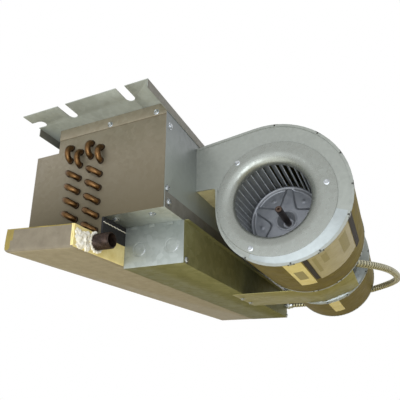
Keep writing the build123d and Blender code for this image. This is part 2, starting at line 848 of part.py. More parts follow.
# Motor base: a foot channel with a yoke up to each rubber ring
yoke_x = shell_end + end_bell_depth + bearing_boss_length / 2
with BuildPart() as motor_base:
    block(
        (motor_x - yoke_x, axis_y - yoke_width / 2, cradle_top_z),
        (motor_x + yoke_x, axis_y + yoke_width / 2, cradle_top_z + yoke_thickness),
    )
    for side in (-1, 1):
        with BuildSketch(Plane.YZ.offset(motor_x + side * (yoke_x + yoke_thickness / 2))):
            yoke_height = axis_z - cradle_top_z
            with Locations((axis_y, cradle_top_z + yoke_height / 2)):
                Rectangle(yoke_width, yoke_height)
            with Locations(axle_centre):
                RegularPolygon(ring_mount_radius, boss_sides, mode=Mode.SUBTRACT)
        extrude(amount=-side * yoke_thickness)
write(motor_base, "motor_base")


# Armoured conduit: straight runs joined by tangent arcs, from the motor to the control box
def place(from_end, from_rear, drop):
    return Vector(near_x + from_end, rear_y + from_rear, under_z - drop)


conduit_route = [
    place(427, -201, 190),
    place(453, -240, 192),
    place(502, -279, 190),
    place(560, -308, 189),
    place(625, -324, 190),
    place(690, -326, 188),
    place(748, -307, 187),
    place(788, -262, 192),
    place(803, -205, 201),
    place(799, -145, 213),
    place(787, -86, 224),
    place(787, -26, 224),
]


def route_radii(points):
    """The largest arc that each corner's two runs leave room for."""
    radii = []
    for before, corner, after in zip(points, points[1:], points[2:]):
        shorter = min((corner - before).length, (after - corner).length)
        half_turn = math.radians((corner - before).get_angle(after - corner) / 2)
        radii.append(0.45 * shorter / math.tan(half_turn))
    return radii


conduit_radii = route_radii(conduit_route)
print("conduit radii", [round(r) for r in conduit_radii])
with BuildPart() as conduit:
    with BuildLine() as conduit_line:
        FilletPolyline(*conduit_route, radius=conduit_radii)
    with BuildSketch(Plane(origin=conduit_route[0], z_dir=conduit_route[1] - conduit_route[0])):
        RegularPolygon(conduit_diameter / 2, conduit_sides)
    sweep(path=conduit_line.line)
print("conduit length", round(sum(edge.length for edge in conduit_line.edges())))
write(conduit, "motor_conduit")

for connector_name, end, inner in (
    ("motor", conduit_route[0], conduit_route[0] - conduit_route[1]),
    ("box", conduit_route[-1], conduit_route[-1] - conduit_route[-2]),
):
    with BuildPart() as connector:
        with BuildSketch(Plane(origin=end, z_dir=inner)):
            RegularPolygon(connector_radius, connector_sides)
        extrude(amount=connector_length)
        if connector_name == "motor":
            with BuildSketch(Plane.YZ.offset(motor_x - shell_end)):
                with Locations(axle_centre):
                    RegularPolygon(motor_radius, motor_sides)
            extrude(amount=motor_shell_length, mode=Mode.SUBTRACT)
    write(connector, f"conduit_{connector_name}_connector")

# Sheet screws
casing_places = [
    ((near_x - sheet, rear_y + from_rear, under_z - end_screw_drop), (-1, 0, 0))
    for from_rear in end_screws_from_rear
]
for sign in (-1, 1):
    rear_x = sign * (far_x - rear_screw_from_end)
    low_x = sign * (far_x - low_screw_from_end)
    casing_places.append(((rear_x, rear_y, under_z - rear_screw_drop), (0, -1, 0)))
    casing_places.append(((low_x, rear_y, under_z - low_screw_drop), (0, -1, 0)))
    casing_places.append(((rear_x, rear_y - sheet, base_z + band_screw_rise), (0, -1, 0)))
write(hex_screws(casing_places), "casing_screws")

ring_places = []
for centre_x in blower_centres:
    for outer in (-1, 1):
        face_x = centre_x + outer * (blower_width / 2 + blower_sheet)
        for turn in ring_screw_turns:
            across = ring_screw_circle * math.cos(math.radians(turn))
            above = ring_screw_circle * math.sin(math.radians(turn))
            ring_places.append(((face_x, axis_y + across, axis_z + above), (outer, 0, 0)))
write(hex_screws(ring_places), "inlet_ring_screws")

cradle_screw_y = rear_y + cradle_screw_lap
cradle_places = [
    ((motor_x + side * cradle_screw_spacing / 2, cradle_screw_y, cradle_top_z - cradle_sheet), (0, 0, -1))
    for side in (-1, 1)
]
write(hex_screws(cradle_places), "cradle_screws")
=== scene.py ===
"""Looks of a ceiling-hung fan coil unit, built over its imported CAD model.

Metres, in the frame of the part: +X along the unit away from the drain nipple, +Y the discharge
side, +Z up. An angle round the blower axis starts at +Y and turns towards +Z. A side or an outward
sign is -1 towards the near end and 1 towards the far end.
"""

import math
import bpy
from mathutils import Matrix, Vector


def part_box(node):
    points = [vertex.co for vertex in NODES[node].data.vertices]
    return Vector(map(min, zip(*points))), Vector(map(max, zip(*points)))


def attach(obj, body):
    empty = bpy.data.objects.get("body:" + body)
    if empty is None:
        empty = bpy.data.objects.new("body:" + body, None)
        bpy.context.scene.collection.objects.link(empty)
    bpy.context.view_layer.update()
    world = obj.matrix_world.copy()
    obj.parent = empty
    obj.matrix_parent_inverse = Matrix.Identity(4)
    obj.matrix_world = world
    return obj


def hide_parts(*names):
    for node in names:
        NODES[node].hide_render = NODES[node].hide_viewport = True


bl_info = {
    "name": "Fan coil unit",
    "version": (1, 0, 0),
    "blender": (4, 5, 0),
    "location": "View3D > Sidebar > Fan coil",
    "description": "Dresses the packed model of a ceiling-hung fan coil unit",
    "category": "Add Mesh",
}

import bmesh
import bpy
from bpy.props import FloatProperty, FloatVectorProperty, IntProperty, PointerProperty
from mathutils import Matrix, Vector
from mathutils.geometry import tessellate_polygon
from mathutils.noise import fractal

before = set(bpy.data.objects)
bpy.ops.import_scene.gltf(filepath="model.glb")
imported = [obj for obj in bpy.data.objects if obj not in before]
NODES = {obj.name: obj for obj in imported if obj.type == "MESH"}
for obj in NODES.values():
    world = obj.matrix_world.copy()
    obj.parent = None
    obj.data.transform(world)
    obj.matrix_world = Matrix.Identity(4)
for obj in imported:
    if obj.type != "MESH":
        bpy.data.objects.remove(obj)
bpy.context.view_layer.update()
MM = 0.001
SHEET = 1.2 * MM

# Places that the frame gives
NEAR_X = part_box("near_end_plate")[0].x
FAR_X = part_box("far_end_plate")[1].x
REAR_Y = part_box("near_end_plate")[0].y
UNDER_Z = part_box("near_top_cleat")[1].z
BASE_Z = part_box("bottom_panel")[0].z
SHAFT_LOW, SHAFT_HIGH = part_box("motor_shaft")
AXIS_Y = (SHAFT_LOW.y + SHAFT_HIGH.y) / 2
AXIS_Z = (SHAFT_LOW.z + SHAFT_HIGH.z) / 2
SHAFT_RADIUS = (SHAFT_HIGH.z - SHAFT_LOW.z) / 2
MOTOR_X = (SHAFT_LOW.x + SHAFT_HIGH.x) / 2
FAN_LOW, FAN_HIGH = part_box("blower_side_plates")
FIN_LOW, FIN_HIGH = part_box("coil_fin_pack")
PAN_LOW, PAN_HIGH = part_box("pan_jacket")
BOX_NEAR_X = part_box("control_box_near_cover")[0].x
BOX_FAR_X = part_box("control_box_far_cover")[1].x
BOX_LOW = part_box("control_box_trough")[0]
CRADLE_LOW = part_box("motor_cradle")[0]


def channels(hex_text):
    """The three values of an sRGB hex colour."""
    return [int(hex_text[i:i + 2], 16) / 255 for i in (1, 3, 5)]


def linear(hex_text):
    """An sRGB hex colour as linear RGBA."""
    return [c / 12.92 if c <= 0.04045 else ((c + 0.055) / 1.055) ** 2.4 for c in channels(hex_text)] + [1.0]


def add_node(tree, kind, inputs=None, output=0, **settings):
    """Adds a node and returns one output. An input is a value, a hex colour or a socket to link."""
    made = tree.nodes.new(kind)
    for name, value in settings.items():
        setattr(made, name, value)
    for name, value in (inputs or {}).items():
        if isinstance(value, bpy.types.NodeSocket):
            tree.links.new(value, made.inputs[name])
        else:
            made.inputs[name].default_value = linear(value) if isinstance(value, str) else value
    return made.outputs[output] if made.outputs else None


def clouds(tree, grain, low=0.0, high=1.0, from_low=0.3, from_high=0.7, detail=4.0):
    """Soft patches about grain metres wide on the part, spread between two values."""
    place = add_node(tree, "ShaderNodeTexCoord", output="Object")
    looks = {"Vector": place, "Scale": 1 / grain, "Detail": detail, "Roughness": 0.55}
    patches = add_node(tree, "ShaderNodeTexNoise", looks)
    span = {"Value": patches, "From Min": from_low, "From Max": from_high, "To Min": low, "To Max": high}
    return add_node(tree, "ShaderNodeMapRange", span)


def galvanised_sheet(
    tree, light, dark, spangle=9 * MM, roughness=0.42, metallic=0.55, edge_tint="#ffffff", foot=None
):
    """Steel sheet dipped in zinc: satin, with faint crystals, waves and handling marks, and a painted tone
    towards the bottom where a foot colour is given.
    """
    place = add_node(tree, "ShaderNodeTexCoord", output="Object")
    cells = {"Vector": place, "Scale": 1 / spangle, "Randomness": 1.0}
    crystals = add_node(tree, "ShaderNodeTexVoronoi", cells, "Color")
    facet = add_node(tree, "ShaderNodeSeparateColor", {"Color": crystals}).node.outputs
    colour = add_node(tree, "ShaderNodeMix", {0: facet["Red"], 6: dark, 7: light}, 2, data_type="RGBA")
    marks = clouds(tree, 60 * MM, 0.0, 0.45, 0.45, 0.75)
    colour = add_node(tree, "ShaderNodeMix", {0: marks, 6: colour, 7: dark}, 2, data_type="RGBA")
    # The foot colour blends in towards the bottom of the casing: painted shade on the end plates, painted
    # reflection on the rear panel
    if foot:
        height = add_node(tree, "ShaderNodeSeparateXYZ", {"Vector": place}, "Z")
        rise = {"Value": height, "From Min": BASE_Z, "From Max": UNDER_Z}
        share = add_node(tree, "ShaderNodeMapRange", rise)
        colour = add_node(tree, "ShaderNodeMix", {0: share, 6: foot, 7: colour}, 2, data_type="RGBA")
    gloss = {"Value": facet["Green"], "To Min": roughness - 0.05, "To Max": roughness + 0.07}
    waves = clouds(tree, 90 * MM, from_low=0.0, from_high=1.0, detail=1.0)
    relief = {"Height": waves, "Distance": 0.5 * MM, "Strength": 0.15}
    return {
        "Base Color": colour,
        "Metallic": metallic,
        "Specular Tint": edge_tint,
        "Roughness": add_node(tree, "ShaderNodeMapRange", gloss),
        "Normal": add_node(tree, "ShaderNodeBump", relief),
    }


def drawn_copper(tree, light, dark):
    """Copper tube, drawn and then brazed: brown oxide with brighter worn crowns and black scale."""
    bloom = clouds(tree, 14 * MM, from_low=0.35, from_high=0.68)
    colour = add_node(tree, "ShaderNodeMix", {0: bloom, 6: dark, 7: light}, 2, data_type="RGBA")
    scale = clouds(tree, 5 * MM, 0.0, 0.55, 0.45, 0.75, 3.0)
    tarnished = add_node(tree, "ShaderNodeMix", {0: scale, 6: colour, 7: "#2f2416"}, 2, data_type="RGBA")
    rough = clouds(tree, 7 * MM, 0.24, 0.42, detail=3.0)
    return {"Base Color": tarnished, "Metallic": 0.95, "Roughness": rough}


def plain_metal(tree, light, dark, roughness, grain=6 * MM, metallic=0.95):
    """A metal whose colour and gloss vary softly from spot to spot."""
    share = clouds(tree, grain)
    return {
        "Base Color": add_node(tree, "ShaderNodeMix", {0: share, 6: dark, 7: light}, 2, data_type="RGBA"),
        "Metallic": metallic,
        "Roughness": clouds(tree, grain, roughness - 0.05, roughness + 0.06),
    }


def cell_foam(tree, light, dark):
    """Cut polyurethane foam: matt, with open cells about 0.8 mm wide, drawn at 1.6 mm to show."""
    place = add_node(tree, "ShaderNodeTexCoord", output="Object")
    cells = add_node(tree, "ShaderNodeTexVoronoi", {"Vector": place, "Scale": 1 / (1.6 * MM)}, "Distance")
    mix = {0: clouds(tree, 25 * MM), 6: dark, 7: light}
    relief = {"Height": cells, "Distance": 0.5 * MM, "Strength": 0.6}
    return {
        "Base Color": add_node(tree, "ShaderNodeMix", mix, 2, data_type="RGBA"),
        "Roughness": 0.95,
        "Normal": add_node(tree, "ShaderNodeBump", relief),
    }


def dull_coat(tree, light, dark, roughness, grain=12 * MM, depth=0.1 * MM):
    """A non-metal skin, such as paint, paper or film, with faint clouding and relief."""
    mix = {0: clouds(tree, grain, detail=5.0), 6: dark, 7: light}
    fine = clouds(tree, grain / 5, from_low=0.0, from_high=1.0)
    relief = {"Height": fine, "Distance": depth, "Strength": 0.5}
    return {
        "Base Color": add_node(tree, "ShaderNodeMix", mix, 2, data_type="RGBA"),
        "Roughness": clouds(tree, grain / 5, roughness - 0.06, roughness + 0.06),
        "Normal": add_node(tree, "ShaderNodeBump", relief),
    }


# Each finish: its maker, light and dark colour, and the maker's other values. A colour is a hex value
# or names the field of the panel that holds it
FINISHES = {
    # Hot-dip zinc on the casing: grey and satin, with faint crystals
    "galvanised_casing_sheet": (galvanised_sheet, "casing.light", "casing.dark"),
    # Zinc sheet of the ends: brownish and even, a painted warm reflection, and darker towards its foot, which
    # is painted shade
    "galvannealed_end_sheet": (
        galvanised_sheet, "casing.end_light", "casing.end_dark", 7 * MM, 0.42, 0.55, "#ffffff", "#574f3c"
    ),
    # Zinc sheet of the rearward faces: darker and a little brown, which is painted shade
    "oiled_rear_edge_sheet": (galvanised_sheet, "#7e7c76", "#75736c"),
    # The top panel's zinc: paler than the rest, which is painted light, and duller
    "passivated_panel_sheet": (galvanised_sheet, "#a3a8a3", "#989d97", 9 * MM, 0.62),
    # Zinc sheet drawn round the outlets: bluish grey, darker at the top and paler towards its foot, which is
    # painted reflection
    "drawn_rear_panel_sheet": (
        galvanised_sheet, "#75797c", "#6d7173", 9 * MM, 0.42, 0.55, "#ffffff", "#a3aaa5"
    ),
    # Zinc of the control box: olive, with wide soft crystals; the olive cast and golden edge tint are a
    # painted warm reflection
    "olive_trough_sheet": (galvanised_sheet, "#84835f", "#767551", 12 * MM, 0.45, 0.6, "#8a8a66"),
    # Zinc of the cradle: a lighter, glossier olive; the olive cast is a painted warm reflection and its
    # lightness painted light
    "olive_cradle_sheet": (galvanised_sheet, "#a09b6e", "#928c5f", 12 * MM, 0.38, 0.6, "#9a9568"),
    # Hot-dip zinc on the blowers: grey, with small crystals and more gloss than the casing
    "galvanised_fan_sheet": (galvanised_sheet, "fan.light", "fan.dark", 5 * MM, 0.36),
    # Zinc of the wraps: satin, darkened and given a golden olive cast and edge tint, which is painted shade
    # and warm reflection
    "yellow_chromated_sheet": (
        galvanised_sheet, "fan.wrap_light", "fan.wrap_dark", 12 * MM, 0.48, 0.75, "#7a6f42"
    ),
    # Thin zinc bent round the cutoff: pale, which is painted light, and soft, with little metal gloss
    "bright_cutoff_sheet": (galvanised_sheet, "#d6cda4", "#c6bc90", 9 * MM, 0.5, 0.2),
    # Zinc sheet stretched by spinning: even, with the sharpest gloss of the blower
    "spun_ring_sheet": (galvanised_sheet, "#8b8f8a", "#878a85", 5 * MM, 0.29, 0.66),
    # Zinc sheet of the pressed slope: a bright crescent, which is a painted highlight
    "burnished_slope_sheet": (galvanised_sheet, "#9ea5a6", "#979e9f", 5 * MM, 0.34),
    # Bright zinc plating on screws and fittings: smooth and bluish
    "zinc_plated_steel": (plain_metal, "#c9cdd1", "#9da1a5", 0.26),
    # Drawn copper after brazing: brown, with brighter crowns
    "brazed_copper_tube": (drawn_copper, "#765838", "#594126"),
    # Oxide scale where a bend was brazed in: nearly black, partly real scale and partly painted shade round
    # the bend's ends, and rough
    "scaled_brazed_socket": (plain_metal, "#3d2e20", "#261c13", 0.5, 4 * MM, 0.8),
    # Rolled aluminium foil: pale, with a soft gloss
    "rolled_aluminium_fin": (plain_metal, "#dfe2e2", "#ced2d2", 0.4, 20 * MM, 0.4),
    # Turned brass: yellow and bright
    "turned_brass": (plain_metal, "#d0b070", "#a88a4c", 0.25),
    # Painted shade in the gap beside a clinched tab and the notch in the seam: a dark, dull line
    "shaded_clinch_slit": (dull_coat, "#3a3a36", "#2b2b28", 0.8),
    # Zinc-coated strip pressed into the discs: blue grey and satin
    "galvanised_wheel_strip": (plain_metal, "#8d9095", "#7c7f85", 0.42, 9 * MM, 0.6),
    # Ground steel with a brown film of rust and grease
    "ground_shaft_steel": (plain_metal, "#5e5048", "#3f332c", 0.34, 3 * MM),
    # Strip of the blades and end rings: pale, which is painted light in the wheel's shaded inside, with a
    # clear gloss
    "bright_blade_strip": (plain_metal, "#c6cacd", "#b2b6ba", 0.36, 9 * MM, 0.55),
    # The blades' folded edges, drawn bright: a painted highlight
    "hemmed_blade_edge": (plain_metal, "#e2e6e8", "#cdd2d5", 0.3, 9 * MM, 0.5),
    # Die-cast zinc: light grey and rather dull
    "cast_zinc_hub": (plain_metal, "#b4b7bc", "#9ea1a6", 0.5, 9 * MM, 0.35),
    # Baked enamel: dark grey and half gloss
    "baked_motor_enamel": (dull_coat, "#3b3d40", "#2c2e31", 0.38),
    # Moulded rubber: black and dull
    "moulded_mount_rubber": (dull_coat, "#1d1d1e", "#141415", 0.8),
    # Wound zinc-coated strip: warm grey with a bright line on each ridge
    "wound_conduit_strip": (plain_metal, "#c2bfa6", "#9d997f", 0.36, 6 * MM, 0.75),
    # Between the windings: dark and rough, which is painted shade in the grooves
    "grimy_conduit_groove": (plain_metal, "#3d3a2c", "#27251d", 0.8, 4 * MM, 0.4),
    # Cured sealant pressed on by hand: white, lumpy and soft in gloss
    "cured_white_sealant": (dull_coat, "#f2f0ea", "#d9d2c0", 0.55, 5 * MM, 0.4 * MM),
    # Closed-cell rubber strip: black and matt
    "closed_cell_gasket": (dull_coat, "#242426", "#161617", 0.85, 4 * MM),
    # Kraft film glued on foam: brown grey, faintly wrinkled
    "foil_kraft_facing": (dull_coat, "pan.facing_colour", "#7a705b", 0.5, 16 * MM, 0.25 * MM),
    # Freshly cut foam: pale yellow, matt and open
    "cut_polyurethane_foam": (cell_foam, "pan.foam_colour", "#d2bf7c"),
    # Foam on the rim's top band and the worn front edge, darker and browner: painted shade
    "aged_polyurethane_foam": (cell_foam, "#948346", "#6f6233"),
    # The same film on the pan's near end: darker and duller, which is painted shade
    "handled_kraft_facing": (dull_coat, "#79705f", "#696050", 0.55, 16 * MM, 0.25 * MM),
    # Epoxy-coated steel: stone grey and half gloss
    "coated_pan_steel": (dull_coat, "#8f8c80", "#77746a", 0.45),
    # Black steel pipe: dark brown, glossy on the thread's crests
    "black_steel_pipe": (plain_metal, "#4a3b33", "#241c19", 0.42, 5 * MM, 0.7),
    # Drawn aluminium: light and smooth
    "drawn_aluminium_can": (plain_metal, "#c6c8c8", "#a9acac", 0.3),
    # Moulded phenolic: black with a dull shine
    "moulded_phenolic": (dull_coat, "#242425", "#1b1b1c", 0.45),
    # Label paper yellowed by age
    "cream_label_paper": (dull_coat, "#d3c585", "#c2b26e", 0.5, 30 * MM),
    # Thin tan film that shows the sheet's waves
    "tan_label_film": (dull_coat, "#9c9063", "#8d8153", 0.45, 30 * MM),
    # Matt black printing ink
    "black_label_ink": (dull_coat, "#241c17", "#19130f", 0.85, 30 * MM),
    # An empty printed field: ink thinned by the paper's grain
    "blank_printed_field": (dull_coat, "#8f8453", "#7d7348", 0.6, 2 * MM),
    # Matt floor paint: pale, even and without gloss
    "matt_floor_paint": (dull_coat, "stage.floor", "stage.floor", 0.9, 0.4),
}


def panel_colour(text):
    """A hex colour as it is, or the one in the panel's field that the text names as group.field."""
    if text.startswith("#"):
        return text
    group, field = text.split(".")
    chosen = getattr(getattr(bpy.context.scene, "fancoil_" + group), field)
    return "#" + "".join(f"{round(255 * c):02x}" for c in chosen)


def finish(name):
    """The material of a finish, made the first time that it is asked for."""
    material = bpy.data.materials.get(name)
    if material:
        return material
    material = bpy.data.materials.new(name)
    material.use_nodes = True
    tree = material.node_tree
    tree.nodes.clear()
    maker, light, dark, *values = FINISHES[name]
    looks = maker(tree, panel_colour(light), panel_colour(dark), *values)
    shader = add_node(tree, "ShaderNodeBsdfPrincipled", looks)
    add_node(tree, "ShaderNodeOutputMaterial", {"Surface": shader})
    return material


class Shape:
    """Gathers the points and faces of one piece. A face's mark is the number of its finish."""

    def __init__(self):
        self.points = []
        self.faces = []
        self.marks = []

    def add_face(self, corners, mark=0):
        self.faces.append(corners)
        self.marks.append(mark)

    def skin(self, rings, loop=False, mark=0):
        """Joins rings of equal length. loop joins the last to the first, or else both ends are closed."""
        start, count = len(self.points), len(rings[0])
        for ring in rings:
            self.points.extend(Vector(point) for point in ring)
        for i in range(len(rings) if loop else len(rings) - 1):
            a = start + i * count
            b = start + (i + 1) % len(rings) * count
            for j in range(count):
                k = (j + 1) % count
                self.add_face((a + j, a + k, b + k, b + j), mark)
        if not loop:
            self.add_face(tuple(range(start, start + count)), mark)
            self.add_face(tuple(range(len(self.points) - count, len(self.points))), mark)

    def turn(self, profile, origin, direction, count=32, loop=False, mark=0, twist=0.0):
        """Revolves (along, radius) pairs about a direction."""
        axis = Vector(direction).normalized()
        across = axis.orthogonal().normalized()
        side = axis.cross(across)
        turns = [2 * math.pi * i / count + twist for i in range(count)]
        spokes = [across * math.cos(t) + side * math.sin(t) for t in turns]
        rings = []
        for along, radius in profile:
            middle = Vector(origin) + axis * along
            rings.append([middle + spoke * radius for spoke in spokes])
        self.skin(rings, loop, mark)

    def plate(self, outline, hole, x_low, x_high):
        """A flat plate across X with a hole, from outlines of (y, z) pairs."""
        loops = [outline, hole]
        flat = [[Vector((0, y, z)) for y, z in loop] for loop in loops]
        corners = [corner for loop in loops for corner in loop]
        start, count = len(self.points), len(corners)
        for x in (x_low, x_high):
            self.points.extend(Vector((x, y, z)) for y, z in corners)
        for a, b, c in tessellate_polygon(flat):
            self.add_face((start + a, start + b, start + c))
            self.add_face((start + count + c, start + count + b, start + count + a))
        first = start
        for loop in loops:
            for i in range(len(loop)):
                a, b = first + i, first + (i + 1) % len(loop)
                self.add_face((a, b, b + count, a + count))
            first += len(loop)

    def block(self, low, high, mark=0, tilt=None):
        """A box between two corners, tilted about its middle by a matrix where one is given."""
        middle = (Vector(low) + Vector(high)) / 2
        half = (Vector(high) - Vector(low)) / 2
        rings = []
        for sz in (-1, 1):
            ring = []
            for sx, sy in ((-1, -1), (1, -1), (1, 1), (-1, 1)):
                corner = Vector((sx * half.x, sy * half.y, sz * half.z))
                ring.append(middle + (tilt @ corner if tilt else corner))
            rings.append(ring)
        self.skin(rings, mark=mark)

    def tube(self, path, radius, sides=16, mark=0, swell=None):
        """Sweeps a round section along points. swell(index, turn) scales the radius."""
        rings, tangents = [], []
        for i in range(len(path)):
            before, after = path[max(i - 1, 0)], path[min(i + 1, len(path) - 1)]
            tangents.append((after - before).normalized())
        across = tangents[0].orthogonal().normalized()
        for i, (point, tangent) in enumerate(zip(path, tangents)):
            across = (across - tangent * across.dot(tangent)).normalized()
            side = tangent.cross(across)
            ring = []
            for j in range(sides):
                t = 2 * math.pi * j / sides
                size = radius * (swell(i, t) if swell else 1)
                ring.append(point + (across * math.cos(t) + side * math.sin(t)) * size)
            rings.append(ring)
        self.skin(rings, mark=mark)

    def strip(self, outer, inner, x_low, x_high, mark=0):
        """A strip of sheet between two lines of (y, z) pairs."""
        rings = [[(x_low, *a), (x_high, *a), (x_high, *b), (x_low, *b)] for a, b in zip(outer, inner)]
        self.skin(rings, mark=mark)

    def build(self, name, finishes):
        """Makes the object, with every face turned outwards. Finishes are names with spaces between."""
        mesh = bpy.data.meshes.new(name)
        mesh.from_pydata(self.points, [], self.faces)
        for finish_name in finishes.split():
            mesh.materials.append(finish(finish_name))
        mesh.polygons.foreach_set("material_index", self.marks)
        mesh.validate()
        made = bpy.data.objects.new(name, mesh)
        bpy.context.scene.collection.objects.link(made)
        work = bmesh.new()
        work.from_mesh(mesh)
        bmesh.ops.recalc_face_normals(work, faces=work.faces)
        work.to_mesh(mesh)
        work.free()
        return made

    def piece(self, name, finishes, slot, stands_for="", body="chassis", crease=35, bevel=0.0):
        """Builds the piece, rides it on its body and hides the CAD nodes that it stands for."""
        replaces = stands_for.split()
        made = self.build(name, finishes)
        made.data.shade_smooth()
        made.data.set_sharp_from_angle(angle=math.radians(crease))
        if bevel:
            round_edges(made, bevel)
        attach(made, body)
        if replaces:
            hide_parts(*replaces)
        return made


def round_edges(made, width):
    """Small rounded edges, so that folded and cut sheet catches the light."""
    rounding = made.modifiers.new("Edge", "BEVEL")
    rounding.width = width
    rounding.segments = 2
    rounding.limit_method = "ANGLE"
    rounding.angle_limit = math.radians(40)
    rounding.harden_normals = True


def dress(node, finishes, width=0.0):
    """Gives a CAD node its finish and rounded edges. A second finish, painted shade, goes on the rearward
    faces.
    """
    part = NODES[node]
    part.data.materials.clear()
    names = finishes.split()
    for name in names:
        part.data.materials.append(finish(name))
    # Faces that point to the rear take the second finish: painted shade
    if len(names) > 1:
        for face in part.data.polygons:
            face.material_index = 1 if face.normal.y < -0.7 else 0
    if width:
        part.data.shade_smooth()
        part.modifiers.new("Weld", "WELD").merge_threshold = 0.01 * MM
        round_edges(part, width)


def arc(centre, radius, start, end, steps):
    """Points on an arc in a plane of two axes, by angle in degrees."""
    turns = [math.radians(start + (end - start) * i / steps) for i in range(steps + 1)]
    return [(centre[0] + radius * math.cos(t), centre[1] + radius * math.sin(t)) for t in turns]


def on_circle(degrees, radius):
    """A place at a radius round the blower axis, as (y, z)."""
    turn = math.radians(degrees)
    return AXIS_Y + radius * math.cos(turn), AXIS_Z + radius * math.sin(turn)


def soft_step(value, low, high):
    """Rises smoothly from 0 at low to 1 at high."""
    t = min(max((value - low) / (high - low), 0), 1)
    return t * t * (3 - 2 * t)


def screw(shape, place, outward, size=4.2 * MM, washer=6.2 * MM, twist=0.3):
    """A hexagon washer-head sheet screw standing on a face."""
    flange = [(-0.5 * MM, washer - 0.4 * MM), (0, washer), (0.5 * MM, washer), (0.9 * MM, size * 1.08)]
    shape.turn(flange, place, outward, 28)
    crown = [(3.3 * MM, size * 0.9), (3.3 * MM, size * 0.62), (3.0 * MM, size * 0.5)]
    shape.turn([(0.6 * MM, size), (2.9 * MM, size), *crown], place, outward, 6, twist=twist)


def colour_property(name, description, hex_text):
    return FloatVectorProperty(
        name=name, description=description, subtype="COLOR_GAMMA", size=3, min=0, max=1,
        default=channels(hex_text),
    )


def length_property(name, description, default):
    return FloatProperty(
        name=name, description=description, default=default, min=0, unit="LENGTH", precision=4
    )


def power_property(name, description, default):
    return FloatProperty(name=name, description=description, default=default, unit="POWER")


class CasingSettings(bpy.types.PropertyGroup):
    edge: length_property("Edge rounding", "Rounding of the folded sheet edges", 0.45 * MM)
    light: colour_property("Light spangle", "Brightest zinc crystals", "#979d9a")
    dark: colour_property("Dark spangle", "Darkest zinc crystals", "#8b918d")
    # The end sheet colours carry a painted warm reflection
    end_light: colour_property("Light end sheet", "Alloyed zinc of the end plates", "#98907f")
    end_dark: colour_property("Dark end sheet", "Shaded zinc of the end plates", "#8e8573")


class CoilSettings(bpy.types.PropertyGroup):
    fin_pitch: length_property("Fin pitch", "Distance between fins", 2.1 * MM)
    fin_thickness: length_property("Fin thickness", "Drawn thicker than foil so that it shows", 0.3 * MM)
    bend_leg: length_property("Bend leg", "Straight length of a return bend", 0.6 * MM)


class PanSettings(bpy.types.PropertyGroup):
    foam: length_property("Foam thickness", "Wall of the foam jacket", 9 * MM)
    foam_colour: colour_property("Foam", "Cut foam", "#e8d9a0")
    facing_colour: colour_property("Facing", "Film on the foam", "#8b816c")


class FanSettings(bpy.types.PropertyGroup):
    seam: length_property("Seam width", "Folded seam round a blower's side plate", 3.6 * MM)
    light: colour_property("Light sheet", "Blower sheet", "#949893")
    dark: colour_property("Dark sheet", "Shaded crystals of the blower sheet", "#8d918c")
    # The wrap colours are darkened and golden olive: painted shade and warm reflection
    wrap_light: colour_property("Light wrap", "Yellow chromate on the wraps", "#8f8555")
    wrap_dark: colour_property("Dark wrap", "Deeper chromate on the wraps", "#81774a")


class WheelSettings(bpy.types.PropertyGroup):
    blades: IntProperty(name="Blades", description="Blades on each wheel", default=38, min=12, max=80)
    petals: IntProperty(name="Petals", description="Recesses pressed into each disc", default=5, min=3, max=9)
    petal_depth: length_property("Petal depth", "Depth of a recess in the disc", 3 * MM)


class ConduitSettings(bpy.types.PropertyGroup):
    pitch: length_property("Ridge pitch", "Distance between the windings", 8 * MM)
    ridge: length_property("Ridge height", "Depth of the groove between windings", 1.8 * MM)


class StageSettings(bpy.types.PropertyGroup):
    floor: colour_property("Floor", "Pale floor", "#decf9f")
    key_power: power_property("Key light", "Power of the soft light at the near end", 13)
    bounce_power: power_property("Bounce light", "Power of the soft light under the near end", 9)
    fill_power: power_property("Fill light", "Power of the soft light beside the camera", 6)


SETTINGS = {
    "fancoil_casing": CasingSettings,
    "fancoil_coil": CoilSettings,
    "fancoil_pan": PanSettings,
    "fancoil_fan": FanSettings,
    "fancoil_wheel": WheelSettings,
    "fancoil_conduit": ConduitSettings,
    "fancoil_stage": StageSettings,
}

# CAD nodes that keep their own sheet, with its finish and that of its rearward faces, where shade is painted
SHEET_FINISHES = {
    "front_panel": "galvanised_casing_sheet",
    "collar_floor": "galvanised_casing_sheet",
    "control_box_near_cover": "galvanised_casing_sheet",
    "control_box_far_cover": "galvanised_casing_sheet",
    "motor_base": "galvanised_casing_sheet",
    "near_end_plate": "galvannealed_end_sheet",
    "far_end_plate": "galvannealed_end_sheet",
    "near_top_cleat": "galvannealed_end_sheet",
    "far_top_cleat": "galvannealed_end_sheet",
    "top_panel": "passivated_panel_sheet oiled_rear_edge_sheet",
    "bottom_panel": "galvanised_casing_sheet oiled_rear_edge_sheet",
    "rear_panel": "drawn_rear_panel_sheet",
    "control_box_trough": "olive_trough_sheet",
    "motor_cradle": "olive_cradle_sheet",
}
END_SCREWS_FROM_REAR = (18 * MM, 110 * MM)
END_SCREW_DROP = 15 * MM
END_SCREW_RADIUS = 3.6 * MM
END_SCREW_WASHER = 5 * MM
REAR_SCREW_FROM_END = 14 * MM
REAR_SCREW_DROP = 38 * MM
LOW_SCREW_FROM_END = 10 * MM
LOW_SCREW_DROP = 152 * MM
BAND_SCREW_RISE = 12 * MM
UNDER_SCREW_FROM_END = 20 * MM
UNDER_SCREWS_FROM_REAR = (31 * MM, 100 * MM)


